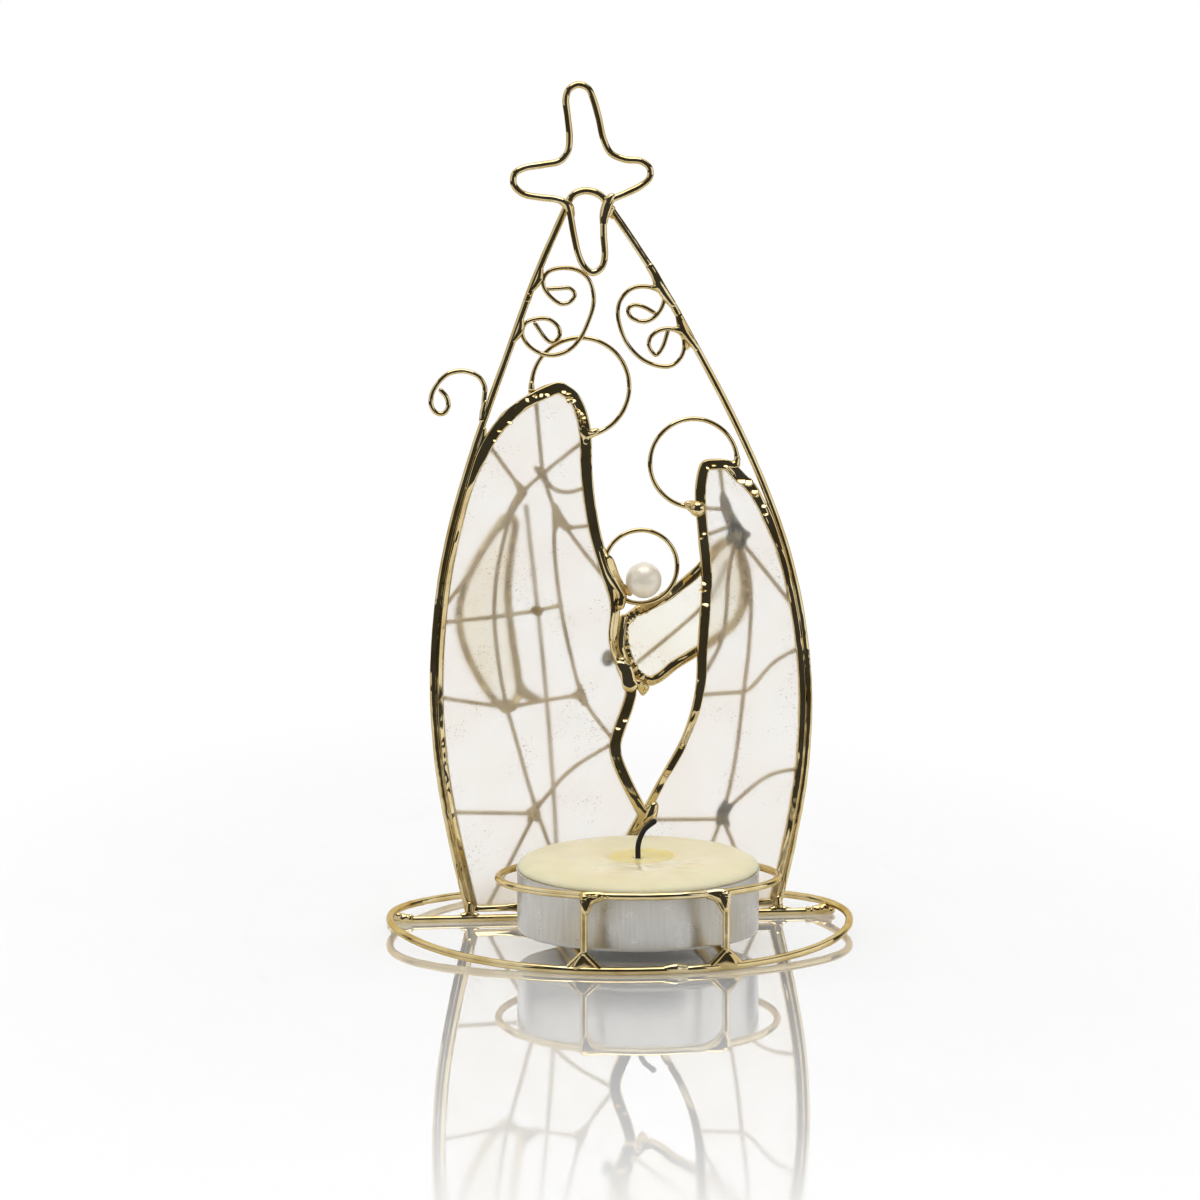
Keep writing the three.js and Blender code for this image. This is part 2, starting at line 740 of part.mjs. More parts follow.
// Scrolls and crook: slid away from the arch until they stand a joint gap from it
function seatedOnArch(outline, leg, away, wire, height) {
  const reach = (archWire + wire) / 2 + jointGap;
  const [archX] = crossingAt(leg < 0 ? archFine : [...archFine].reverse(), height);
  const path = evenSteps(moved(outline, archX, height), scrollStep);
  const isClear = (outlinePath) => outlinePath.every((point) => distanceToPath(point, archFine) >= reach);
  let seated = path;
  while (!isClear(seated)) {
    seated = moved(seated, trimStep * away, 0);
  }
  return seated;
}
const leftScrollPath = seatedOnArch(leftScroll, -1, 1, scrollWire, leftScrollHeight);
const rightScrollPath = seatedOnArch(rightScroll, 1, -1, scrollWire, rightScrollHeight);
const crookPath = seatedOnArch(crook, -1, -1, crookWire, crookHeight);
uprightWire('left_scroll', leftScrollPath, scrollWire, scrollSides, panelY);
uprightWire('right_scroll', rightScrollPath, scrollWire, scrollSides, panelY);
uprightWire('shepherd_crook', crookPath, crookWire, scrollSides, panelY);

// Halos: open loops that end on the came
function closedPath(outline) {
  return [...outline, outline[0]];
}
function haloPath(centre, radius, [from, to], outline) {
  const reach = (cameWidth + haloWire) / 2 + jointGap;
  const fine = arc(centre, radius, from, to, trimStep);
  const cut = endsClear(fine, [{ path: closedPath(outline), reach }]);
  const angleOf = ([x, z]) => Math.atan2(z - centre[1], x - centre[0]);
  const start = angleOf(cut[0]);
  const turn = ((to - from) * (cut.length - 1)) / (fine.length - 1);
  return arc(centre, radius, start, start + turn, haloStep);
}
function edgeAt(outline, height, side) {
  const path = closedPath(outline);
  const xs = [];
  for (let i = 1; i < path.length; i += 1) {
    const pair = path.slice(i - 1, i + 1);
    if ((pair[0][1] - height) * (pair[1][1] - height) <= 0 && pair[0][1] !== pair[1][1]) {
      xs.push(crossingAt(pair, height)[0]);
    }
  }
  return [side < 0 ? Math.min(...xs) : Math.max(...xs), height];
}
const [leftHaloCentre] = moved([leftPeak], ...leftHaloFromPeak);
const leftHalo = haloPath(leftHaloCentre, leftHaloRadius, leftHaloSpan, leftBody);
uprightWire('left_halo', leftHalo, haloWire, wireSides, leftHaloY);
const [rightHaloCentre] = moved([rightPeak], ...rightHaloFromPeak);
const rightHalo = haloPath(rightHaloCentre, rightHaloRadius, rightHaloSpan, rightBody);
uprightWire('right_halo', rightHalo, haloWire, wireSides, panelY);
const [childHaloCentre] = moved([edgeAt(leftBody, childHaloHeight, 1)], childHaloFromEdge, 0);
const childHalo = haloPath(childHaloCentre, childHaloRadius, childHaloSpan, leftBody);
uprightWire('child_halo', childHalo, haloWire, wireSides, panelY);

// Pearl head: it rests inside the child's halo
const pearlReach = childHaloRadius - haloWire / 2 - jointGap - pearlRadius;
addPiece('pearl_head', new THREE.SphereGeometry(pearlRadius, ...pearlFaces), nacreLook).position.set(
  childHaloCentre[0] + pearlReach * Math.cos(pearlAngle),
  panelY,
  childHaloCentre[1] + pearlReach * Math.sin(pearlAngle),
);

// Tracery: each wire is cut short where it meets one already laid at its depth
function onCame(outline, place) {
  if ('left' in place) {
    return edgeAt(outline, place.left, -1);
  }
  if ('right' in place) {
    return edgeAt(outline, place.right, 1);
  }
  if ('top' in place) {
    const onItsSide = outline.map(([x, z]) => [z, x]);
    return edgeAt(onItsSide, place.top, 1).reverse();
  }
  return [place.foot, cameFootZ];
}
function addTracery(wires, outline, y) {
  const laid = [];
  for (const [name, corners] of Object.entries(wires)) {
    const path = corners.map((corner) => (Array.isArray(corner) ? corner : onCame(outline, corner)));
    const cut = endsClear(evenSteps(path, trimStep), laid);
    laid.push({ path: cut, reach: traceryWire + jointGap });
    const last = cut.length - 1;
    const steps = Math.max(1, Math.round((last * trimStep) / traceryStep));
    const bends = Array.from({ length: steps + 1 }, (_, k) => cut[Math.round((k * last) / steps)]);
    uprightWire(name, bends, traceryWire, wireSides, y);
  }
}
addTracery(leftTracery, leftBody, traceryY);
addTracery(leftRearTracery, leftBody, rearTraceryY);
addTracery(rightTracery, rightBody, traceryY);

export default holder;
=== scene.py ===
"""Looks of the wire and shell tealight holder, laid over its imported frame."""

import math

import bmesh
import bpy
import numpy as np
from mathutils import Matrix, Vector, noise


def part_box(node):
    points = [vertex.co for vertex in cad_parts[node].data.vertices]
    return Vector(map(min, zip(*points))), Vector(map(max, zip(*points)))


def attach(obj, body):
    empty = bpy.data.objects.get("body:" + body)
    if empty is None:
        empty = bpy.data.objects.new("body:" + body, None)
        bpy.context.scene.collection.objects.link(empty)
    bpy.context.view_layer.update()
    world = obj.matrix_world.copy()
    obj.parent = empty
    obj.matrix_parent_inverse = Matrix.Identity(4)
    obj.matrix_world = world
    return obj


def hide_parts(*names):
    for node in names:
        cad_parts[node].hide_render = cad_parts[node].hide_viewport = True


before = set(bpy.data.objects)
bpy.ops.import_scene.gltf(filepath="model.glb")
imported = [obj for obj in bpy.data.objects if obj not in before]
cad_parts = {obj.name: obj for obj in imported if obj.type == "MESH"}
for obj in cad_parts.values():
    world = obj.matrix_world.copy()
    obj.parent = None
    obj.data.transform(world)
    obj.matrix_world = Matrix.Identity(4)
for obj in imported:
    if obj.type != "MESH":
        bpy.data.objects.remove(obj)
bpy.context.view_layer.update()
scene = bpy.context.scene

# Lengths are in millimetres up to the point where a mesh is made
MM = 0.001
BACK = np.array([0.0, 1.0, 0.0])
UP = np.array([0.0, 0.0, 1.0])
RIGHT = np.array([1.0, 0.0, 0.0])

# Depths and centres, read from the frame


def middle(node):
    low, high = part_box(node)
    return (low + high) / 2 / MM


panel_y = middle("outer_arch").y
star_y = middle("star").y
left_halo_y = middle("left_halo").y
tracery_y = middle("left_sash_wire").y
rear_tracery_y = middle("left_rear_fold_wire").y
arm_y = middle("right_arm_came").y
crease_y = middle("right_arm_crease_wire").y
bar_y = middle("cross_bar").y
candle_x, candle_y, _ = middle("tealight_cup")
cup_low, cup_high = [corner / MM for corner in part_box("tealight_cup")]
wax_low, wax_high = [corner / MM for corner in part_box("candle_wax")]
pearl_middle = middle("pearl_head")

# Wire radii
base_ring_wire = 0.62
bar_wire = 0.55
rail_wire = 0.56
candle_ring_wire = 0.58
arch_wire = 0.6
star_wire = 0.55
scroll_wire = 0.36
crook_wire = 0.4
halo_wire = 0.38
tracery_wire = 0.34
wick_wire = 0.42

# Shell and came
came_width = 1.75
came_depth = 1.6
came_corner = 0.26
leg_came_share = 0.62
left_arm_came_width = 1.2
right_arm_came_width = 1.6
came_from_arch = 1.1
shell_thickness = 0.7

# Base and candle seat
base_ring_radius = 37.1
base_ring_bow = 1.55
candle_ring_radius = 22.0
candle_ring_height = 11.2
candle_ring_tilt = math.radians(1.9)
post_half_spacing = 10.9
rail_height = 2.0
rail_bend = 1.3
post_y = -math.sqrt(base_ring_radius**2 - post_half_spacing**2)
bar_half_length = math.sqrt((base_ring_radius + base_ring_wire) ** 2 - bar_y**2)

# Arch: heights and half widths about an axis that leans to the left as it rises
arch_profile = [
    (1.2, 25.6), (13, 28.3), (25, 30.3), (37, 30.95), (48, 30.25), (58, 28.6), (68, 25.8),
    (80, 21.3), (92, 16), (104, 10.4), (113.5, 5.2), (116.9, 3.2), (117.8, 2.7), (118.6, 1.7),
]
arch_top = 119.0
arch_foot_x = 2.0
arch_lean = 6.3
arch_lean_power = 2.5

# Panels
came_foot_z = 2.1
left_shoulder_height = 70
left_peak = (-8.7, 87.4)
left_inner_edge = [
    (-6.3, 85.6), (-4.6, 81), (-4.2, 73), (-3, 64.3), (-1.2, 57.6), (0.5, 52), (0.2, 46),
    (1.7, 41), (3.1, 38), (2.6, 35.3), (1.4, 32), (0.5, 29), (0.6, 27), (2.2, 22.9), (5.2, 17),
]
left_foot_x = -3.5
right_shoulder_height = 61
right_foot_x = -1.5
right_inner_edge = [
    (5.6, 17.6), (8.4, 22.8), (12.2, 29.7), (14.4, 37), (15, 46), (15.6, 56), (14.8, 65),
    (14.5, 70.5), (14.8, 73),
]
right_peak = [(15.3, 74.6), (18.8, 74.7)]
right_shoulder = [(20.2, 73.5), (23.4, 70), (25.8, 65.5)]
right_arm_outline = [
    (2.2, 45.7), (2.2, 47.8), (3.4, 49.6), (8.9, 52.6), (14.7, 57.1), (18.4, 61.4), (20.4, 61.9),
    (21.8, 58.5), (22.3, 52.5), (20.6, 48.3), (14.6, 43.8), (10.8, 41.5), (7.9, 39.3), (6.2, 38.9),
    (3.8, 41),
]
right_arm_crease = [(4.8, 41.9), (14.9, 50.4), (17.3, 53.3), (19.6, 58.6)]
left_arm_outline = [
    (-19.1, 36), (-21.6, 39.6), (-23.7, 43.9), (-24.9, 49), (-24.3, 54), (-21.9, 59.3),
    (-18.7, 64.2), (-17.1, 66.2), (-15.8, 65.7), (-16.3, 60.5), (-16.9, 54), (-16.3, 47),
    (-15.4, 41), (-15.2, 36.8), (-17.2, 34.7),
]

# Star, scrolls and crook
star_outline = [
    (-5.7, 135.9), (-4.1, 135.3), (-3.3, 133.7), (-2.4, 130.7), (-1.6, 127.2), (-0.4, 125),
    (1.9, 124), (4.5, 123.7), (5.9, 122.6), (5.9, 121.1), (4.5, 119.8), (1.9, 118.5),
    (-0.4, 117.4), (-1.4, 115.7), (-1.6, 112.1), (-1.4, 108.5), (-1.9, 106.7), (-3.3, 105.8),
    (-4.6, 106.6), (-5.6, 108.5), (-6.4, 111.8), (-7.1, 115.7), (-7.6, 116.9), (-9.4, 117.6),
    (-12, 117.9), (-14.7, 118.5), (-16.1, 119.9), (-16, 121.6), (-14.6, 122.5), (-11.4, 123.1),
    (-8.7, 123.7), (-7.4, 125.2), (-7.1, 127.5), (-7.4, 130.7), (-7.7, 133.6), (-7.2, 135.1),
]
left_scroll = [
    (-10.4, 103.2), (-8.6, 103.3), (-6.9, 103.3), (-6.1, 102.3), (-6.9, 101.1), (-8.3, 100.8),
    (-9.9, 101.8), (-11.1, 103.4), (-11.2, 104.9), (-10.2, 106.1), (-7.9, 106.6), (-5.6, 106.2),
    (-3.9, 104.8), (-3.1, 102.6), (-3.1, 100.6), (-3.9, 98), (-5.4, 95), (-7.3, 93.2),
    (-9.9, 92.5), (-12.3, 93.1), (-14.1, 94.6), (-14.7, 96.2), (-14.1, 97.7), (-12.2, 98.4),
    (-10.3, 98.3), (-8.8, 97), (-8.6, 95.7), (-9.4, 94.7), (-10.4, 94.8), (-12.6, 97.6),
]
right_scroll = [
    (6.8, 99.4), (5.1, 100.3), (3.6, 100.6), (2.6, 100), (2.9, 98.8), (4.4, 98), (5.7, 98),
    (7.1, 98.8), (8.2, 100.5), (8.4, 101.9), (7.1, 103.2), (4.4, 103.6), (2.6, 102.9),
    (1.2, 101.1), (0.9, 99.3), (1.4, 96.7), (2.7, 94), (5.1, 91.7), (7.8, 90.7), (9.8, 90.8),
    (11.3, 92.2), (11.8, 94), (11.4, 95.8), (9.8, 96.7), (7.7, 96.5), (6.2, 95.3), (6, 94),
    (6.6, 92.9), (7.2, 92.5), (8.2, 93.7), (9.1, 96.4),
]
crook = [
    (-21.1, 82.6), (-20.9, 85.4), (-20.8, 87.4), (-21.7, 89), (-23.3, 89.8), (-24.9, 90),
    (-26.8, 89.5), (-28.4, 88), (-29.4, 86.1), (-29.4, 84.3), (-28.5, 83.2), (-27.4, 83.2),
    (-26.7, 84.3), (-27, 85.8), (-27.9, 86.9),
]

# Halos: centre, radius and the angles between which the wire runs
left_halo = ((-5.1, 87.3), 8.0, 185, -80)
right_halo = ((13.4, 74.9), 7.2, 4, 268)
child_halo = ((4.7, 58), 6.0, 172, -128)

# Tracery behind the figures: an end on the came is given by its height on the left or right
# edge, or by its x at the top or the foot
left_tracery = {
    "left_sash_wire": [
        ("right", 78.7), (-11.3, 73.2), (-14.5, 70.3), (-18.9, 63.8), (-24.3, 55.7),
        ("left", 51.6),
    ],
    "left_shoulder_wire": [("left", 78.4), (-14.5, 70.3)],
    "left_neck_wire": [("top", -12.4), (-11.3, 73.2)],
    "left_chest_wire": [(-11.3, 73.2), (-9.2, 67.3), (-6.6, 63.2), ("right", 55.1)],
    "left_collar_wire": [(-10.9, 72.4), (-9.6, 70.9), (-7.4, 70.2), ("right", 71)],
    "left_breast_wire": [(-7.6, 64.3), ("right", 64.8)],
    "left_front_fold_wire": [
        (-9, 66.8), (-9.4, 62.5), (-8.4, 52), (-6.7, 43.6), (-4.5, 36.1), ("right", 29),
    ],
    "left_back_fold_wire": [
        (-16.6, 67), (-18.8, 56.8), (-19.2, 49.1), (-17.7, 37.2), (-15.4, 28.5), (-12.5, 18.4),
        ("foot", -6.5),
    ],
    "left_waist_wire_outer": [("left", 49.1), (-19.2, 49.9)],
    "left_waist_wire_inner": [(-19.2, 49.9), (-12.2, 50.9), (-8.4, 51.7)],
    "left_knee_wire_outer": [("left", 36.8), (-17.5, 35)],
    "left_knee_wire_inner": [(-17.4, 34.8), (-13.2, 35.7), (-4.7, 37)],
    "left_hem_wire": [("left", 17.8), (-12.6, 17.4)],
    "left_hem_brace_outer": [(-12.6, 17.4), ("foot", -20.5)],
    "left_hem_brace_inner": [(-12.6, 18), (-6.7, 24.5), ("right", 29)],
}
left_rear_tracery = {
    "left_rear_fold_wire": [
        (-13.9, 67.8), (-12.2, 52.5), (-10.7, 37.5), (-9.5, 21.2), ("foot", -8.5),
    ],
}
right_tracery = {
    "right_spine_wire": [
        ("top", 17.8), (18.8, 68.2), (20.9, 62.6), (22.9, 56.1), (23, 46.5), (22, 37.1),
        (20.6, 25.7), (18.6, 17), ("foot", 13),
    ],
    "right_collar_wire": [("left", 67.5), (18.9, 67.2)],
    "right_chest_wire": [("left", 62.8), (20.2, 64.6)],
    "right_shoulder_wire": [(21, 62.6), ("right", 51.5)],
    "right_front_fold_wire": [
        (20.6, 63.4), (19.4, 56.1), (19, 49.8), (18.2, 45.3), ("left", 38.6),
    ],
    "right_knee_wire_inner": [("left", 36.6), (22, 37)],
    "right_knee_wire_outer": [(22, 37), (23.2, 37.7), (27.1, 41.9), ("right", 44.1)],
    "right_hem_wire_inner": [("left", 16), (18.5, 15.9)],
    "right_hem_wire_outer": [(18.8, 17.2), (26.2, 23), ("right", 24.1)],
    "right_hem_brace": [(18.3, 16.4), ("foot", 24.5)],
}

# Curves


def unit(vectors):
    return vectors / np.linalg.norm(vectors, axis=-1, keepdims=True)


def even(path, step, closed=False):
    """Points at even steps along a path of straight stretches."""
    path = np.array(path, float)
    if closed:
        path = np.vstack([path, path[:1]])
    run = np.concatenate([[0], np.cumsum(np.linalg.norm(np.diff(path, axis=0), axis=1))])
    marks = np.linspace(0, run[-1], max(2, round(run[-1] / step)) + 1)
    points = np.column_stack([np.interp(marks, run, path[:, k]) for k in range(path.shape[1])])
    return points[:-1] if closed else points


def smooth(points, step=0.4, closed=False):
    """Points at even steps along a centripetal curve through the given ones."""
    parts_of_a_span = 16
    knots = np.array(points, float)
    if closed:
        knots = np.vstack([knots[-1:], knots, knots[:2]])
    else:
        knots = np.vstack([2 * knots[0] - knots[1], knots, 2 * knots[-1] - knots[-2]])
    fine = []
    for p0, p1, p2, p3 in zip(knots, knots[1:], knots[2:], knots[3:]):
        t1 = np.linalg.norm(p1 - p0) ** 0.5
        t2 = t1 + np.linalg.norm(p2 - p1) ** 0.5
        t3 = t2 + np.linalg.norm(p3 - p2) ** 0.5
        t = np.linspace(t1, t2, parts_of_a_span, endpoint=False)[:, None]
        a1 = p0 + (p1 - p0) * t / t1
        a2 = p1 + (p2 - p1) * (t - t1) / (t2 - t1)
        a3 = p2 + (p3 - p2) * (t - t2) / (t3 - t2)
        b1 = a1 + (a2 - a1) * t / t2
        b2 = a2 + (a3 - a2) * (t - t1) / (t3 - t1)
        fine.extend(b1 + (b2 - b1) * (t - t1) / (t2 - t1))
    if not closed:
        fine.append(knots[-2])
    return even(fine, step, closed)


def softened(path, rounds):
    """A closed path with its corners rounded."""
    for _ in range(rounds):
        path = (np.roll(path, 1, 0) + 2 * path + np.roll(path, -1, 0)) / 4
    return path


def arc(centre, radius, start, end, step=0.4):
    count = max(2, round(abs(math.radians(end - start)) * radius / step))
    angles = np.radians(np.linspace(start, end, count + 1))
    return np.column_stack([centre[0] + radius * np.cos(angles), centre[1] + radius * np.sin(angles)])


def bezier(p0, p1, p2, p3, count=40):
    t = np.linspace(0, 1, count)[:, None]
    return (1 - t) ** 3 * p0 + 3 * (1 - t) ** 2 * t * p1 + 3 * (1 - t) * t**2 * p2 + t**3 * p3


def upright(outline, y):
    """An outline of x and z, stood up at a depth."""
    outline = np.array(outline, float)
    return np.column_stack([outline[:, 0], np.full(len(outline), y), outline[:, 1]])


def waver(places, pitch, seed):
    """Smooth unevenness between about -1 and 1, one value for each place."""
    return np.array([noise.noise(Vector(place) / pitch + Vector((seed, 0, 0))) for place in places])


def between(values, start, end):
    """Smooth step from 0 at the start to 1 at the end."""
    share = np.clip((values - start) / (end - start), 0, 1)
    return share * share * (3 - 2 * share)


# Meshes


def rings_mesh(rings, closed, ends=None):
    """Faces over a row of rings of points. The two end points, if any, close it."""
    count, sides, _ = rings.shape
    points = rings.reshape(-1, 3)
    pairs = [(j, (j + 1) % sides) for j in range(sides)]
    faces = []
    for i in range(count if closed else count - 1):
        here = i * sides
        there = (i + 1) % count * sides
        faces.extend((here + j, here + k, there + k, there + j) for j, k in pairs)
    if ends is not None:
        points = np.vstack([points, ends])
        first = count * sides
        tail = first - sides
        for j, k in pairs:
            faces.append((first, k, j))
            faces.append((first + 1, tail + j, tail + k))
    return points, faces


def directions(path, closed):
    if closed:
        return unit(np.roll(path, -1, 0) - np.roll(path, 1, 0))
    return unit(np.gradient(path, axis=0))


def tube(path, radius, normal=BACK, closed=False, sides=14, flare=(0, 0), seed=0.0):
    """Round wire along a path, a little uneven, with domed ends that may flare into solder."""
    unevenness = 0.05
    thickness_pitch = 2.5
    shake_pitch = 6
    flare_reach = 1.6 * radius
    dome = np.radians([65, 35])
    along = directions(path, closed)
    side = unit(np.cross(along, normal))
    out = np.cross(side, along)
    run = np.arange(len(path)) * np.linalg.norm(path[1] - path[0])
    radii = radius * (1 + unevenness * waver(path, thickness_pitch, seed))
    radii = radii * (1 + flare[0] * np.exp(-run / flare_reach))
    radii = radii * (1 + flare[1] * np.exp(-(run[-1] - run) / flare_reach))
    shake = np.column_stack([waver(path, shake_pitch, seed + 20 + k) for k in range(3)])
    path = path + unevenness * radius * shake
    ends = None
    if not closed:
        before = [path[0] - along[0] * radii[0] * math.sin(a) for a in dome]
        after = [path[-1] + along[-1] * radii[-1] * math.sin(a) for a in dome[::-1]]
        ends = np.array([path[0] - along[0] * radii[0], path[-1] + along[-1] * radii[-1]])
        path = np.vstack([before, path, after])
        side = np.vstack([side[:1], side[:1], side, side[-1:], side[-1:]])
        out = np.vstack([out[:1], out[:1], out, out[-1:], out[-1:]])
        radii = np.concatenate([radii[0] * np.cos(dome), radii, radii[-1] * np.cos(dome[::-1])])
    angles = np.arange(sides) * 2 * math.pi / sides
    circle = np.cos(angles)[:, None] * side[:, None, :] + np.sin(angles)[:, None] * out[:, None, :]
    rings = path[:, None, :] + radii[:, None, None] * circle
    return rings_mesh(rings, closed, ends)


def came_section(width, depth, corner, corner_steps=4, flat_steps=9):
    """Rounded oblong as reach and rise from its middle, with the outward direction of each point."""
    points = []
    outward = []
    for quarter, (across, deep) in enumerate([(1, 1), (-1, 1), (-1, -1), (1, -1)]):
        middle_x = across * (width / 2 - corner)
        middle_y = deep * (depth / 2 - corner)
        for k in range(corner_steps + 1):
            angle = (quarter + k / corner_steps) * math.pi / 2
            outward.append((math.cos(angle), math.sin(angle)))
            points.append((middle_x + corner * math.cos(angle), middle_y + corner * math.sin(angle)))
        flat_end = points[-1]
        if quarter % 2 == 0:
            for share in np.arange(1, flat_steps) / flat_steps:
                outward.append((0.0, float(deep)))
                points.append((flat_end[0] * (1 - 2 * share), flat_end[1]))
    return np.array(points), np.array(outward)


def came(outline, width, y, seed, share=1.0, slant=0.0, turn=-1.0, flecks=0.3, ribs=0.0):
    """Came round a closed outline, with flecks of solder left on it.

    The share scales its width. The slant is the angle at which its front face falls away outwards,
    or inwards if negative, from the turn on, a part of the half width. Flecks and ribs are the
    strengths of its lumps. Each is one number or one for every point of the outline.
    """
    slant_waver = 14
    slant_pitch = 8
    patch_grain = (0.3, 0.9, 0.9)
    patch_start = -0.02
    patch_softness = 0.15
    drop_grain = (0.55, 1.7, 1.7)
    drop_height = 0.45
    rib_grain = (1.6, 0.35, 0.35)
    path = upright(outline, y)
    count = len(path)
    forms = (share, slant, turn, flecks, ribs)
    share, slant, turn, flecks, ribs = [np.broadcast_to(form, count)[:, None] for form in forms]
    run = np.arange(count) * np.linalg.norm(path[1] - path[0])
    along = directions(path, True)
    side = unit(np.cross(along, BACK))
    points, outward = came_section(width, came_depth, came_corner)
    slant = np.radians(slant + slant_waver * waver(path, slant_pitch, seed + 3)[:, None])
    reach = points[:, 0] * share
    front = np.clip(0.5 - points[:, 1] / came_depth, 0, 1)
    falling = np.maximum(np.sign(slant) * reach - turn * share * width / 2, 0)
    rise = points[:, 1] + front * falling * np.tan(np.abs(slant))
    spots = np.stack([np.broadcast_to(run[:, None], reach.shape), reach, rise], -1).reshape(-1, 3)
    patches = np.clip((waver(spots * patch_grain, 1, seed) - patch_start) / patch_softness, 0, 1)
    drops = patches * drop_height * waver(spots * drop_grain, 1, seed + 5)
    cross_ribs = waver(spots * rib_grain, 1, seed + 9)
    lumps = flecks * drops.reshape(reach.shape) + ribs * cross_ribs.reshape(reach.shape)
    reach = reach + lumps * outward[:, 0]
    rise = rise + lumps * outward[:, 1]
    rings = path[:, None, :] + reach[..., None] * side[:, None, :] + rise[..., None] * BACK
    return rings_mesh(rings, True)


def slab(outline, y, thickness):
    """Flat plate with a given outline."""
    count = len(outline)
    front = upright(outline, y - thickness / 2)
    rear = upright(outline, y + thickness / 2)
    faces = [tuple(range(count)), tuple(range(2 * count - 1, count - 1, -1))]
    for i in range(count):
        k = (i + 1) % count
        faces.append((k, i, count + i, count + k))
    return np.vstack([front, rear]), faces


def lathe(profile, centre, steps=128):
    """Turned body: a closed profile of radius and height about an upright axis."""
    angles = np.arange(steps) * 2 * math.pi / steps
    profile = np.array(profile, float)
    rings = np.empty((steps, len(profile), 3))
    rings[..., 0] = centre[0] + profile[:, 0] * np.cos(angles)[:, None]
    rings[..., 1] = centre[1] + profile[:, 0] * np.sin(angles)[:, None]
    rings[..., 2] = profile[:, 1]
    return rings_mesh(rings, True)


def foil(corners, thickness=0.16, bulge=0.2):
    """Thin torn flap of metal between a few corners, bulging a little towards the front."""
    ring_shares = (1.0, 0.7, 0.35)
    ring_rises = (0.0, 0.6, 0.9)
    edge = smooth(corners, 0.25, True)
    heart = edge.mean(0)
    front = []
    for share, rise in zip(ring_shares, ring_rises):
        front.append(heart + share * (edge - heart) - rise * bulge * BACK)
    front = np.array(front)
    rear = front[::-1] + thickness * BACK
    rear_heart = heart + (thickness - ring_rises[-1] * bulge) * BACK
    return rings_mesh(np.vstack([rear, front]), False, np.array([rear_heart, heart - bulge * BACK]))


def scraps(start, end, y, count, size, seed):
    """Flat torn bits of solder along a line of x and z, tipped up so that they catch the light."""
    least_tip = 34
    tip_spread = 18
    stray = 0.7
    thickness = 0.5
    bulge = 0.03
    dice = np.random.default_rng(seed)
    start = np.array(start)
    run = np.array(end) - start
    turns = np.arange(6) * math.pi / 3
    bits = []
    for place in (np.arange(count) + dice.random(count)) / count:
        x, z = start + place * run + stray * (dice.random(2) - 0.5)
        tip = math.radians(least_tip + tip_spread * dice.random())
        radii = size * (0.55 + 0.9 * dice.random(6))
        corners = []
        for turn, radius in zip(turns, radii):
            rise = radius * math.sin(turn)
            corner_x = x + radius * math.cos(turn)
            corners.append((corner_x, y + rise * math.sin(tip), z + rise * math.cos(tip)))
        bits.append(foil(corners, thickness, bulge))
    return bits


def in_scene(name, data):
    made = bpy.data.objects.new(name, data)
    scene.collection.objects.link(made)
    return made


def piece(name, parts, material, body, nodes=(), sharp=False):
    """One object made of meshes given in millimetres, riding on a body in place of its nodes."""
    sharp_from = math.radians(40)
    points = []
    faces = []
    start = 0
    for part_points, part_faces in parts:
        points.append(np.asarray(part_points))
        faces.extend(tuple(start + k for k in face) for face in part_faces)
        start += len(part_points)
    mesh = bpy.data.meshes.new(name)
    mesh.from_pydata((np.vstack(points) * MM).tolist(), [], faces)
    mesh.validate()
    shape = bmesh.new()
    shape.from_mesh(mesh)
    bmesh.ops.recalc_face_normals(shape, faces=shape.faces)
    shape.to_mesh(mesh)
    shape.free()
    mesh.polygons.foreach_set("use_smooth", [True] * len(mesh.polygons))
    if sharp:
        mesh.set_sharp_from_angle(angle=sharp_from)
    mesh.materials.append(material)
    made = in_scene(name, mesh)
    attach(made, body)
    if nodes:
        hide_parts(*nodes)


# Solder: chains of drops that run together into one smooth body
chain_spacing = 0.6
drop_reach = 1.507
drop_fineness = 0.13


def solder(strokes):
    """Each stroke is a list of x, y, z and radius, filled in with drops."""
    drops = bpy.data.metaballs.new("drops")
    drops.resolution = drop_fineness
    drops.render_resolution = drop_fineness
    for stroke in strokes:
        knots = np.array(stroke, float)
        gap = chain_spacing * knots[:, 3].min()
        chain = even(knots, gap) if len(knots) > 1 else knots
        for x, y, z, radius in chain:
            drop = drops.elements.new()
            drop.co = (x, y, z)
            drop.radius = drop_reach * radius
    lump = in_scene("drops", drops)
    bpy.context.view_layer.update()
    depsgraph = bpy.context.evaluated_depsgraph_get()
    mesh = bpy.data.meshes.new_from_object(lump.evaluated_get(depsgraph))
    points = np.array([vertex.co[:] for vertex in mesh.vertices])
    faces = [tuple(polygon.vertices) for polygon in mesh.polygons]
    bpy.data.objects.remove(lump)
    bpy.data.metaballs.remove(drops)
    bpy.data.meshes.remove(mesh)
    return points, faces


def crumbs(start, end, spread, count, size, seed):
    """Single drops strewn along a line."""
    dice = np.random.default_rng(seed)
    start, end = np.array(start), np.array(end)
    places = start + dice.random((count, 1)) * (end - start)
    places = places + spread * (dice.random((count, 3)) - 0.5)
    radii = size * (0.7 + 0.6 * dice.random(count))
    return [[(*place, radius)] for place, radius in zip(places, radii)]


def at_depth(y, *strokes):
    """Strokes of x, z and radius, all at one depth."""
    return [[(x, y, z, radius) for x, z, radius in stroke] for stroke in strokes]


# Materials: the noises run from about 0.3 to 0.7
noise_low = 0.3
noise_high = 0.7


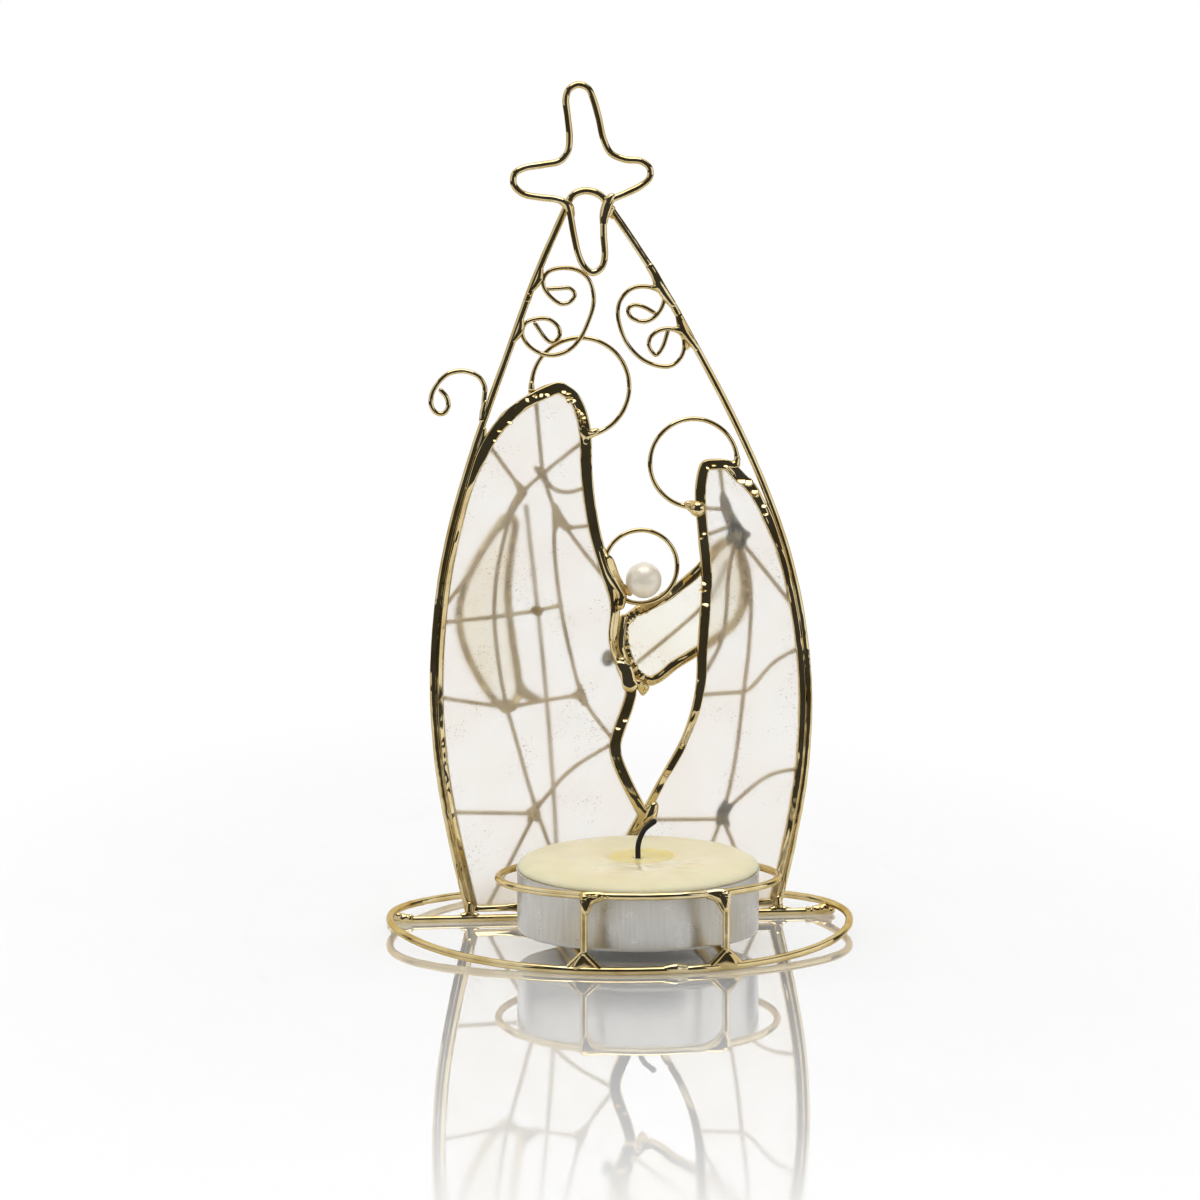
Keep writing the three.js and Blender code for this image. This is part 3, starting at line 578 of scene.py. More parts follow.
def add_node(tree, kind, output, inputs, **settings):
    """One output of a new node, whose inputs are values or the outputs of other nodes."""
    node = tree.nodes.new("ShaderNode" + kind)
    for name, value in settings.items():
        setattr(node, name, value)
    for socket, value in inputs.items():
        if isinstance(value, bpy.types.NodeSocket):
            tree.links.new(value, node.inputs[socket])
        else:
            node.inputs[socket].default_value = value
    return node.outputs[output]


class Finish:
    """A material in the making: its shader and the nodes that feed it."""

    def __init__(self, name, fixed):
        self.material = bpy.data.materials.new(name)
        self.material.use_nodes = True
        self.tree = self.material.node_tree
        self.shader = self.tree.nodes["Principled BSDF"]
        for socket, value in fixed.items():
            self.shader.inputs[socket].default_value = value
        self.place = self.add("TexCoord", "Object", {})

    def add(self, kind, output, inputs, **settings):
        return add_node(self.tree, kind, output, inputs, **settings)

    def noise(self, size, detail=3.0, stretch=(1, 1, 1)):
        """Noise with features of about the given size, which may be stretched."""
        scale = [1 / (size * MM * k) for k in stretch]
        spot = self.add("Mapping", "Vector", {"Vector": self.place, "Scale": scale})
        return self.add("TexNoise", "Fac", {"Vector": spot, "Scale": 1.0, "Detail": detail})

    def reach(self, centre, axes):
        """Distance from a centre, measured only along the given axes, in millimetres."""
        shift = [-c * k for c, k in zip(centre, axes)]
        scale = [k / MM for k in axes]
        spot = self.add("Mapping", "Vector", {"Vector": self.place, "Location": shift, "Scale": scale})
        return self.add("VectorMath", "Value", {0: spot}, operation="LENGTH")

    def between(self, value, low, high, to_low=0.0, to_high=1.0):
        limits = {"From Min": low, "From Max": high, "To Min": to_low, "To Max": to_high}
        return self.add("MapRange", "Result", {"Value": value, **limits})

    def spread(self, value, to_low, to_high):
        """A noise stretched between two values."""
        return self.between(value, noise_low, noise_high, to_low, to_high)

    def times(self, first, second):
        return self.add("Math", "Value", {0: first, 1: second}, operation="MULTIPLY")

    def ramp(self, value, stops):
        ramp = self.tree.nodes.new("ShaderNodeValToRGB")
        elements = ramp.color_ramp.elements
        while len(elements) < len(stops):
            elements.new(0.5)
        for element, (place, colour) in zip(elements, stops):
            element.position = place
            element.color = (*colour, 1)
        self.tree.links.new(value, ramp.inputs["Fac"])
        return ramp.outputs["Color"]

    def shades(self, value, low_colour, high_colour):
        """A noise turned into the colours between two."""
        return self.ramp(value, [(noise_low, low_colour), (noise_high, high_colour)])

    def mix(self, factor, first, second):
        return self.add("Mix", 2, {0: factor, 6: first, 7: second}, data_type="RGBA")

    def feed(self, socket, value):
        self.tree.links.new(value, self.shader.inputs[socket])

    def bump(self, height, depth, strength=1.0):
        form = {"Distance": depth * MM, "Strength": strength, "Height": height}
        self.feed("Normal", self.add("Bump", "Normal", form))


def gold_finish(name, shades, edge, smoothest, roughest, metallic=1.0, cloud=5.0):
    """Plated wire: colour clouds, uneven polish and soft dents."""
    finish = Finish(name, {"Metallic": metallic, "Specular Tint": (*edge, 1)})
    finish.feed("Base Color", finish.ramp(finish.noise(cloud, 4), shades))
    finish.feed("Roughness", finish.spread(finish.noise(1.2), smoothest, roughest))
    finish.bump(finish.noise(2.5, 1), 0.07)
    return finish.material


pale_shades = [(0.3, (0.55, 0.40, 0.17)), (0.5, (0.70, 0.56, 0.29)), (0.7, (0.78, 0.67, 0.41))]
worn_shades = [(0.3, (0.48, 0.37, 0.20)), (0.5, (0.62, 0.51, 0.31)), (0.7, (0.70, 0.60, 0.40))]
grey_shades = [(0.36, (0.10, 0.09, 0.06)), (0.48, (0.20, 0.21, 0.19)), (0.62, (0.42, 0.36, 0.24))]
gold = gold_finish("pale_gold", pale_shades, (0.72, 0.60, 0.38), 0.02, 0.07)
worn_gold = gold_finish("worn_gold", worn_shades, (0.70, 0.62, 0.45), 0.22, 0.38, 0.5)
grey_solder = gold_finish("grey_solder", grey_shades, (0.6, 0.6, 0.6), 0.3, 0.45, 0.4, 1.3)


def shell_finish(name, clear, deep, pale):
    """Thin ivory shell: light goes through it, with faint clouds, growth lines and specks."""
    fixed = {"Transmission Weight": clear, "IOR": 1.33, "Specular IOR Level": 0.4}
    finish = Finish(name, fixed)
    clouds = finish.noise(8, 9)
    ivory = finish.ramp(clouds, [(0.36, deep), (0.62, pale)])
    dust = finish.shades(clouds, (0.52, 0.47, 0.40), (0.62, 0.57, 0.50))
    specks = finish.between(finish.noise(0.35, 1), 0.63, 0.70)
    places = finish.between(finish.noise(9, 2), 0.52, 0.62)
    finish.feed("Base Color", finish.mix(finish.times(specks, places), ivory, dust))
    finish.feed("Roughness", finish.spread(finish.noise(3, 3), 0.42, 0.54))
    finish.bump(finish.noise(6, 3, (2.5, 1, 0.6)), 0.10, 0.35)
    return finish.material


panel_shell = shell_finish("panel_shell", 0.95, (0.98, 0.935, 0.875), (1.0, 0.98, 0.945))
arm_shell = shell_finish("arm_shell", 1.0, (0.97, 0.925, 0.80), (1.0, 0.98, 0.90))


def clouded_finish(name, fixed, noise_form, colours, roughnesses):
    """A plain finish in which one noise, of a size and a detail, drives colour and roughness."""
    finish = Finish(name, fixed)
    clouds = finish.noise(*noise_form)
    finish.feed("Base Color", finish.shades(clouds, *colours))
    finish.feed("Roughness", finish.spread(clouds, *roughnesses))
    return finish.material


pearl_coat = {"Metallic": 0.3, "Coat Weight": 0.5, "Coat Roughness": 0.16}
pearl_colours = (0.88, 0.80, 0.66), (0.93, 0.87, 0.75)
nacre = clouded_finish("nacre", pearl_coat, (3, 2), pearl_colours, (0.36, 0.46))
glue_clearness = {"Transmission Weight": 0.5, "IOR": 1.5}
glue_colours = (0.55, 0.33, 0.07), (0.80, 0.58, 0.20)
glue = clouded_finish("amber_glue", glue_clearness, (0.6, 3), glue_colours, (0.08, 0.2))
steel_colours = (0.42, 0.42, 0.43), (0.6, 0.6, 0.6)
tab_steel = clouded_finish("tab_steel", {"Metallic": 1.0}, (1.5, 3), steel_colours, (0.25, 0.4))
tab = bpy.data.objects["wick_tab"]
tab.data.materials.clear()
tab.data.materials.append(tab_steel)

# Drawn aluminium: fine upright streaks and dull patches
aluminium = Finish("drawn_aluminium", {"Metallic": 1.0})
streaks = aluminium.noise(0.4, 2, (1, 1, 14))
aluminium.feed("Base Color", aluminium.shades(streaks, (0.60, 0.59, 0.56), (0.66, 0.65, 0.62)))
aluminium.feed("Roughness", aluminium.spread(aluminium.noise(2.5, 4), 0.25, 0.36))
aluminium.bump(streaks, 0.004, 0.4)

# Charred cotton: black, with ash grey and brown in its weave
charred = Finish("charred_wick", {})
char = charred.noise(0.4, 5)
char_shades = [(0.3, (0.004, 0.003, 0.003)), (0.6, (0.012, 0.009, 0.007)), (0.8, (0.06, 0.04, 0.025))]
charred.feed("Base Color", charred.ramp(char, char_shades))
charred.feed("Roughness", charred.spread(char, 0.6, 0.95))
charred.bump(char, 0.15, 0.9)

# Cream wax: yellow where it melted round the wick, glossy in front of that
pool_radius = 5.2
pool_shift = 0.7
gloss_shift_x = 1.5
gloss_shift_y = -8.5
gloss_squeeze = 0.6
wax_depth = {"Subsurface Weight": 0.6, "Subsurface Radius": (0.004, 0.003, 0.0015), "Subsurface Scale": 1.0}
wax = Finish("cream_wax", {"IOR": 1.44, **wax_depth})
pool_reach = wax.reach((candle_x + pool_shift, candle_y, 0), (1, 1, 0))
gloss_place = (candle_x + gloss_shift_x, candle_y + gloss_shift_y, 0)
gloss_reach = wax.reach(gloss_place, (gloss_squeeze, 1, 0))
wax_clouds = wax.noise(5, 4)
cream = wax.shades(wax_clouds, (0.79, 0.70, 0.44), (0.85, 0.77, 0.53))
melted = wax.shades(wax_clouds, (0.80, 0.64, 0.22), (0.86, 0.74, 0.34))
pool = wax.between(pool_reach, pool_radius - 0.4, pool_radius + 0.6, 1.0, 0.0)
wax.feed("Base Color", wax.mix(pool, cream, melted))
wax.feed("Roughness", wax.between(gloss_reach, 1, 9, 0.08, 0.42))
wax.bump(wax.noise(1.6, 4), 0.12, 0.5)

# Outlines of the arch and the two panels


def arch_axis(height):
    return arch_foot_x - arch_lean * (height / arch_top) ** arch_lean_power


def arch_leg(side):
    return [(arch_axis(height) + side * half, height) for height, half in arch_profile]


arch = smooth([*arch_leg(-1), (arch_axis(arch_top), arch_top), *arch_leg(1)[::-1]])
along_arch = directions(arch, False)
into_arch = np.column_stack([along_arch[:, 1], -along_arch[:, 0]])


def inside_arch(side, distance, low, high):
    """The line at a distance inside one leg of the arch, between two heights."""
    on_leg = side * (arch[:, 0] - arch_axis(arch[:, 1])) > 0
    line = arch + distance * into_arch
    return line[on_leg & (line[:, 1] > low) & (line[:, 1] < high)]


came_step = 0.22
came_softening = 8
foot_inset = 0.2
left_leg = inside_arch(-1, came_from_arch, came_foot_z, left_shoulder_height)

# The left shoulder leaves the arch along it and comes to the peak nearly level
arch_pull = 12.5
peak_pull = (-6.4, -2.4)
off_arch = left_leg[-1] + arch_pull * unit(left_leg[-1] - left_leg[-3])
before_peak = np.array(left_peak) + peak_pull
left_shoulder = bezier(left_leg[-1], off_arch, before_peak, np.array(left_peak))
left_outline = np.vstack(
    [
        (left_leg[0, 0] - foot_inset, came_foot_z),
        left_leg,
        left_shoulder[1:-1],
        smooth([left_peak, *left_inner_edge]),
        (left_foot_x, came_foot_z),
    ]
)
right_leg = inside_arch(1, came_from_arch, came_foot_z, right_shoulder_height)
right_outline = np.vstack(
    [
        (right_foot_x, came_foot_z),
        smooth(right_inner_edge),
        right_peak,
        smooth([*right_shoulder, right_leg[0]])[:-1],
        right_leg,
        (right_leg[-1, 0] + foot_inset, came_foot_z),
    ]
)
left_outline = softened(even(left_outline, came_step, True), came_softening)
right_outline = softened(even(right_outline, came_step, True), came_softening)
left_arm = smooth(left_arm_outline, came_step, True)
right_arm = smooth(right_arm_outline, came_step, True)

# Base


def gold_piece(name, mesh, node=None, material=gold):
    """A wire or came of the holder, in place of the node of that name or of a given one."""
    piece(f"gold_{name}", [mesh], material, "holder", [node or name])


ring_steps = 480
ring_angles = np.arange(ring_steps) * 2 * math.pi / ring_steps
base_ring = np.column_stack(
    [
        base_ring_radius * np.cos(ring_angles),
        base_ring_radius * np.sin(ring_angles),
        base_ring_wire + base_ring_bow * np.cos(ring_angles) ** 4,
    ]
)
gold_piece("base_ring", tube(base_ring, base_ring_wire, UP, True, 18))
bar = even([(-bar_half_length, bar_y, bar_wire), (bar_half_length, bar_y, bar_wire)], 0.4)
gold_piece("cross_bar", tube(bar, bar_wire, UP, seed=3))

post_top = candle_ring_height + 0.3
bend_angles = np.linspace(0, math.pi / 2, 8)
for name, side in (("left", -1), ("right", 1)):
    x = candle_x + side * post_half_spacing
    bend = [
        (x, post_y + rail_bend * (1 - math.sin(a)), rail_height + rail_bend * (1 - math.cos(a)))
        for a in bend_angles
    ]
    route = [(x, bar_y, rail_height), *bend, (x, post_y, post_top)]
    rail = tube(even(route, 0.3), rail_wire, RIGHT, seed=5 + side)
    gold_piece(f"{name}_rail", rail, f"{name}_rail_and_post")

to_back = candle_ring_radius * np.sin(ring_angles)
candle_ring = np.column_stack(
    [
        candle_x + candle_ring_radius * np.cos(ring_angles),
        candle_y + to_back * math.cos(candle_ring_tilt),
        candle_ring_height - to_back * math.sin(candle_ring_tilt),
    ]
)
gold_piece("candle_ring", tube(candle_ring, candle_ring_wire, UP, True, 16, seed=8))

# Tealight: the cup's rim and the wax in it lean a little towards the front
rim_lean = 0.95
rim_drop = 0.25
rim_lean_towards = np.array([-0.17, -0.985])
lean_start = 1.5
cup_radius = cup_high.x - candle_x
cup_wall = 0.3
cup_floor = 0.35
cup_foot_round = 0.6
rim_roll = 0.16
axis_hole = 0.01
rim = [
    (cup_radius + rim_roll * math.cos(a), cup_high.z - rim_roll * (1 - math.sin(a)))
    for a in np.linspace(-1.2, math.pi, 9)
]
foot = [
    (cup_radius - cup_foot_round * (1 - math.sin(a)), cup_low.z + cup_foot_round * (1 - math.cos(a)))
    for a in np.linspace(0, math.pi / 2, 6)
]
cup_profile = [
    (axis_hole, cup_low.z),
    (cup_radius - 1.6, cup_low.z),
    *foot,
    *rim,
    (cup_radius - cup_wall, cup_low.z + 1.2),
    (cup_radius - 1.4, cup_low.z + cup_floor),
    (axis_hole, cup_low.z + cup_floor),
]


def leaning(mesh):
    points, faces = mesh
    lean_height = cup_high.z - cup_low.z - lean_start
    share = np.clip((points[:, 2] - cup_low.z - lean_start) / lean_height, 0, 1)
    forwards = (points[:, :2] - (candle_x, candle_y)) @ rim_lean_towards / cup_radius
    points[:, 2] -= share * (rim_drop + rim_lean * forwards)
    return points, faces


cup = leaning(lathe(cup_profile, (candle_x, candle_y)))
piece("drawn_cup", [cup], aluminium.material, "tealight_cup", ["tealight_cup"])

wax_radius = wax_high.x - candle_x
wax_top = wax_high.z
crown = [
    (wax_radius, cup_high.z + 0.04),
    (wax_radius + 0.6, cup_high.z + 0.06),
    (wax_radius + 0.55, cup_high.z + 0.5),
    (wax_radius - 0.2, cup_high.z + 1.05),
    (wax_radius - 2.6, cup_high.z + 1.6),
    (12, wax_top),
]
pool_dip = 0.5
tab_recess_radius = 6.3
tab_recess_height = 0.6
wick_hole = 0.7
melt_radii = np.linspace(11.7, 0.8, 44)
melt_dips = pool_dip * (0.35 * between(melt_radii, 11, 6) + 0.65 * between(melt_radii, 5.8, 4.6))
wax_profile = [
    (tab_recess_radius, wax_low.z),
    (wax_radius - 1.2, wax_low.z),
    (wax_radius, wax_low.z + 1.2),
    *smooth(crown, 0.3),
    *zip(melt_radii, wax_top - melt_dips),
    (wick_hole, wax_low.z + tab_recess_height),
    (tab_recess_radius, wax_low.z + tab_recess_height),
]
candle_points, candle_faces = lathe(wax_profile, (candle_x, candle_y), 160)
candle_points[:, 2] += 0.06 * waver(candle_points, 4, 0.0)
leaning((candle_points, candle_faces))
ripple_height = 0.2
on_top = between(candle_points[:, 2], wax_top - 1.0, wax_top - 0.6)
gloss_x = candle_points[:, 0] - candle_x - gloss_shift_x
gloss_y = candle_points[:, 1] - candle_y - gloss_shift_y
ripple_share = on_top * between(np.hypot(gloss_squeeze * gloss_x, gloss_y), 7.5, 2)
candle_points[:, 2] += ripple_height * ripple_share * waver(candle_points * (0.6, 1, 1), 1.5, 3)
piece("cream_candle", [(candle_points, candle_faces)], wax.material, "candle", ["candle_wax"])

wick_foot = wax_top - 0.7
wick_bends = [(0, -8), (0, 0), (0.1, 2.2), (1.0, 4.3), (2.5, 5.6)]
wick_path = smooth([(candle_x + x, candle_y, wick_foot + z) for x, z in wick_bends], 0.12)
wick_points, wick_faces = tube(wick_path, wick_wire, BACK, sides=16, flare=(0, 0.2))
strands = 0.07 * waver(wick_points, 0.35, 2.0)
wick_points = wick_points + strands[:, None] * unit(wick_points - wick_points.mean(0))
piece("burnt_wick", [(wick_points, wick_faces)], charred.material, "candle", ["wick"])

# Arch, star, scrolls, crook and halos
curl_step = 0.25
gold_piece("arch", tube(upright(arch, panel_y), arch_wire, sides=16, seed=11), "outer_arch")
star = upright(smooth(star_outline, 0.35, True), star_y)
gold_piece("star", tube(star, star_wire, closed=True, sides=16, seed=12))
for name, outline in (("left_scroll", left_scroll), ("right_scroll", right_scroll)):
    gold_piece(name, tube(upright(smooth(outline, curl_step), panel_y), scroll_wire, seed=13))
crook_path = upright(smooth(crook, curl_step), panel_y)
gold_piece("crook", tube(crook_path, crook_wire, flare=(0.4, 0), seed=14), "shepherd_crook")
for name, halo, y in (
    ("left_halo", left_halo, left_halo_y),
    ("right_halo", right_halo, panel_y),
    ("child_halo", child_halo, panel_y),
):
    gold_piece(name, tube(upright(arc(*halo), y), halo_wire, flare=(0.5, 0.5), seed=15))

# Pearl: a bead with its drilled hole, upright
pearl_radius = 2.95
bore = 0.35
bore_half_length = 2.6
pearl_end = math.pi / 2 - 0.16
pearl_profile = [
    (pearl_radius * math.cos(a), pearl_middle.z + pearl_radius * math.sin(a))
    for a in np.linspace(-pearl_end, pearl_end, 40)
]
pearl_profile.append((bore, pearl_middle.z + bore_half_length))
pearl_profile.append((bore, pearl_middle.z - bore_half_length))
pearl = lathe(pearl_profile, (pearl_middle.x, pearl_middle.y), 72)
piece("pearl_bead", [pearl], nacre, "holder", ["pearl_head"], sharp=True)

# Came and shell: where the came is narrower, slanting, flecked or ribbed
left_x, left_z = left_outline.T
on_leg = between(-left_x, 14, 18) * between(left_z, 78, 70)
below_child = between(left_x, -4, -3) * between(left_z, 55, 52) * between(left_z, 41, 44)
left_heights = [0, 15, 22, 33, 38, 46, 64, 90]
left_widths = np.interp(left_z, left_heights, [0.9, 1, 1.1, 1.1, 1, 0.9, 1.05, 1.12])
left_form = {
    "share": left_widths * (1 - on_leg) + leg_came_share * on_leg,
    "slant": 38 * below_child - 31 * on_leg,
    "turn": -0.5 - 0.5 * below_child - 0.2 * on_leg,
    "flecks": 0.2 + 0.4 * between(left_z, 79, 84) - 0.05 * on_leg,
}
right_x, right_z = right_outline.T
on_leg = between(right_x, 21, 24) * between(right_z, 66, 60)
on_shoulder = between(right_x, 18, 20) * between(right_z, 58, 64)
low_inside = between(right_x, 18, 14) * between(right_z, 36, 30)
facets = np.clip(0.3 + 3 * waver(upright(right_outline, 0), 4.5, 7), -0.2, 1)
right_heights = [0, 30, 40, 50, 64, 76]
right_widths = np.interp(right_z, right_heights, [0.68, 0.7, 0.9, 0.94, 0.96, 1.0])
right_form = {
    "share": right_widths * (1 - on_leg) + leg_came_share * on_leg,
    "slant": -38 * low_inside * facets,
    "flecks": 0.2 + 0.6 * on_shoulder + 0.2 * on_leg,
}
arm_x, arm_z = right_arm.T
on_cuff = between(arm_x, 7, 5)
under_arm = between(arm_x, 6, 8) * between(arm_z - 0.65 * arm_x, 37.5, 36)
over_arm = between(arm_x, 3, 5) * between(arm_z - 0.75 * arm_x, 42, 44)
arm_form = {
    "slant": 6 + 32 * under_arm + 30 * over_arm,
    "turn": -0.3 + 0.4 * under_arm,
    "flecks": 0.35,
    "ribs": 0.26 * on_cuff,
}
for name, outline, width, y, clear, seed, form in (
    ("left_figure", left_outline, came_width, panel_y, panel_shell, 4.0, left_form),
    ("right_figure", right_outline, came_width, panel_y, panel_shell, 9.0, right_form),
    ("left_arm", left_arm, left_arm_came_width, arm_y, arm_shell, 2.0, {}),
    ("right_arm", right_arm, right_arm_came_width, arm_y, arm_shell, 6.0, arm_form),
):
    gold_piece(f"{name}_came", came(outline, width, y, seed, **form))
    plate = slab(outline, y, shell_thickness)
    piece(f"ivory_{name}", [plate], clear, "holder", [f"{name}_shell"], sharp=True)
crease = tube(upright(smooth(right_arm_crease), crease_y), tracery_wire, seed=21)
gold_piece("arm_crease", crease, "right_arm_crease_wire", worn_gold)

# Tracery


def on_came(outline, place, value):
    """A point on the left or right edge at a height, or on the top or the foot at an x."""
    if place == "foot":
        return (value, came_foot_z)
    side = -1 if place == "left" else 1
    axis = 0 if place == "top" else 1
    past = outline[:, axis] - value
    crossing = past * np.roll(past, -1) <= 0
    edge = side * np.max(side * outline[crossing, 1 - axis])
    return (value, edge) if place == "top" else (edge, value)


for wires, outline, y in (
    (left_tracery, left_outline, tracery_y),
    (left_rear_tracery, left_outline, rear_tracery_y),
    (right_tracery, right_outline, tracery_y),
):
    for name, corners in wires.items():
        path = [on_came(outline, *c) if isinstance(c[0], str) else c for c in corners]
        path = upright(smooth(path), y)
        wire = tube(path, tracery_wire, sides=12, flare=(0.35, 0.35), seed=len(name))
        gold_piece(name, wire, material=worn_gold)

# Solder on the arch


def beside(side, *marks):
    """A stroke along a leg of the arch: height, distance inside the wire and radius."""
    leg = inside_arch(side, 0, 0, arch_top)
    leg = leg[np.argsort(leg[:, 1])]
    return [(np.interp(z, leg[:, 1], leg[:, 0]) - side * d, z, radius) for z, d, radius in marks]


seam_y = panel_y - 0.1
arch_joints = at_depth(
    seam_y,
    beside(-1, (106.6, 0.1, 0.5), (105.6, 0.45, 0.6), (104.7, 0.6, 0.7), (103.8, 0.4, 0.6), (103, 0, 0.5)),
    beside(-1, (102.2, 0, 0.64), (101.4, 0, 0.64)),
    beside(-1, (98.4, 0.1, 0.5), (97.4, 0.45, 0.62), (96.4, 0.6, 0.72), (95.6, 0.4, 0.6), (94.8, 0, 0.5)),
    beside(
        1, (106.9, 0, 0.68), (105.4, 0.05, 0.7), (103.8, 0.35, 0.85), (102.2, 0.3, 0.8), (100.6, 0, 0.64)
    ),
    [(7.6, 103.6, 0.7), (6.6, 103.4, 0.45)],
    beside(1, (99, 0, 0.58), (97.4, 0.4, 0.75), (96.2, 0.6, 0.8), (94.8, 0.3, 0.7), (93.4, 0, 0.56)),
    [(11.2, 96.5, 0.6), (10.2, 96.7, 0.42)],
    beside(-1, (82, -0.3, 0.5), (83.4, -0.6, 0.55), (85, -0.8, 0.42)),
)
arch_joints += at_depth(
    (panel_y + star_y) / 2,
    [(-7.6, 117.2, 0.5), (-7, 116.4, 0.7), (-6.7, 115, 0.55)],
)
arch_joints += at_depth(
    star_y,
    [(-0.2, 118.1, 0.6), (-0.7, 117.4, 0.8), (-1.2, 116.2, 0.85), (-1.5, 114.9, 0.75), (-1.6, 113.6, 0.58)],
)
foils = [
    foil([(-9.8, 8.4, 117.8), (-7.4, 9.3, 117.4), (-7, 10, 115), (-8, 9.4, 116.2)]),
    foil([(-1, 8.6, 116.6), (0.4, 9.6, 116.4), (0.2, 10.2, 114.4), (-0.9, 9, 115.2)]),
    foil([(10.9, 9.3, 96.2), (13.2, 10.3, 94.8), (12.3, 10.6, 93.2), (11.6, 9.9, 94.7)]),
]
piece("solder_on_arch", [solder(arch_joints), *foils], gold, "holder")

# Solder between the panels, halos and arch
joints = at_depth(
    seam_y,
    [(-13.2, 87.1, 0.5), (-13.2, 88, 0.42)],
    [(-4.9, 80.8, 0.7), (-4.4, 79.7, 0.95), (-3.6, 79.7, 0.7), (-2.5, 80.3, 0.45)],
    [(-4.4, 79.7, 0.8), (-4.3, 78.2, 0.7)],
    [(20.6, 75.7, 0.45), (20.3, 74.4, 0.7), (19, 74.6, 0.7)],
    [(12.2, 68.2, 0.5), (13.2, 67.8, 0.9)],
    [(-1.9, 61, 0.8), (-1.3, 59, 0.85), (-0.6, 57, 0.9), (0.4, 55.2, 0.9), (1.5, 53.4, 0.8)],
    [(1.6, 53.2, 0.8), (1.3, 51.6, 0.75)],
    [(1.6, 42.6, 0.8), (2.2, 40.4, 0.9), (2.9, 38.4, 0.95)],
    [(3.2, 38.8, 0.8), (4.6, 38.8, 0.6)],
    [(6.9, 18.6, 0.8), (6.3, 17, 1.15), (5.6, 15.6, 0.9)],
    beside(-1, (80.6, 0.5, 0.42), (79.4, 0.8, 0.5), (77.8, 0.8, 0.5), (76.4, 0.7, 0.42)),
)
joints += at_depth(
    (panel_y + arm_y) / 2,
    [(2, 49.6, 0.6), (1.6, 47, 0.8), (1.4, 44.6, 0.8), (2.2, 42.2, 0.8)],
)
joints += at_depth(panel_y - 1.0, [(13.9, 67.5, 1.55)])
came_front = panel_y - came_depth / 2
loose = [
    foil(
        [
            (-1.3, 8.9, 60.2), (-0.1, 9.5, 59.7), (1.2, 10.2, 56.7), (2.4, 10.6, 54.2),
            (1.6, 9.9, 53.6), (0, 9, 56.2), (-1, 8.7, 58.3),
        ]
    ),
    foil([(3.6, 11.2, 38.7), (5.6, 11.2, 38.6), (6.4, 11.6, 37.9), (5.3, 11.9, 36.5), (4.4, 11.6, 37.5)]),
    foil(
        [
            (0.5, 8.9, 42.6), (2.9, 8.9, 42), (3.7, 8.9, 39.6), (4.2, 8.9, 38.4),
            (3.2, 8.8, 37.5), (1.8, 8.8, 37.9), (1.3, 8.9, 39.8),
        ]
    ),
]
for start, end, count, size in (
    ((-14.6, 85.2), (-10.2, 86.6), 5, 0.45),
    ((-8.4, 86.6), (-6.2, 84.8), 7, 0.5),
    ((-5.8, 84), (-4.8, 81.4), 6, 0.45),
    ((20.4, 73), (24.2, 69), 4, 0.75),
    ((24.4, 68.6), (26, 65.4), 2, 0.5),
    ((15.4, 74.4), (18.4, 74.5), 3, 0.35),
    ((14.9, 55.6), (14.9, 51.6), 3, 0.5),
    ((14.7, 64), (14.8, 62), 2, 0.4),
    ((1.9, 33.6), (0.8, 30.4), 2, 0.45),
    ((-19.4, 79), (-17, 82), 3, 0.4),
):
    loose += scraps(start, end, came_front - 0.12, count, size, count)
piece("solder_on_panels", [solder(joints), *loose], gold, "holder")

seam_wire = 0.44
seam_from_arch = 0.62
seams = []
for side, top in ((-1, 71), (1, 66)):
    seam = upright(inside_arch(side, seam_from_arch, 3, top), panel_y)
    seams.append(tube(seam, seam_wire, sides=10, seed=30 + side))
piece("solder_seams", seams, gold, "holder")

# Glue under the pearl and on a waist wire
glue_drops = at_depth(panel_y, [(1.6, 54.9, 0.5), (2.3, 54.2, 0.62), (2.9, 53.6, 0.45)])
glue_drops += at_depth(tracery_y - 0.3, [(-12.7, 51, 0.7), (-12, 50.8, 0.9)])
piece("glue_drop", [solder(glue_drops)], glue, "holder")

# Solder webs where tracery wires meet
webs = at_depth(
    tracery_y,
    [(-15.6, 71.9, 0.42), (-14.5, 70.3, 0.75), (-15.8, 68.4, 0.66), (-16.9, 66.2, 0.62), (-18.6, 64, 0.42)],
    [(-12.4, 74.2, 0.4), (-11.3, 73.2, 0.68), (-10.8, 72, 0.48)],
    [(-18.5, 35.2, 0.45), (-17.3, 34.8, 0.9), (-16, 35, 0.5)],
    [(-6.4, 36.8, 0.42), (-5.1, 36.9, 0.85), (-4.3, 35.4, 0.5)],
    [(-5.1, 36.9, 0.7), (-5.2, 38.4, 0.42)],
    [(-14, 17.5, 0.42), (-12.7, 17.7, 0.9), (-12.2, 16.4, 0.55)],
    [(-12.6, 18.4, 0.7), (-11.6, 19.3, 0.42)],
    [(-12.7, 17.7, 0.7), (-13.6, 16.2, 0.42)],
    [(-9.3, 68, 0.5), (-8.8, 66.2, 0.85), (-7.6, 64.7, 0.65), (-6.6, 64.4, 0.42)],
    [(-8.9, 66.2, 0.8), (-9.2, 64.4, 0.5)],
)
webs += at_depth(
    arm_y,
    [(-17.9, 35.2, 1), (-16.4, 35.3, 0.9)],
    [(-14.9, 38.6, 0.6), (-14.4, 37.3, 0.9), (-12.9, 36.4, 0.7), (-11.5, 36, 0.45)],
)
piece("solder_on_tracery", [solder(webs)], worn_gold, "holder")
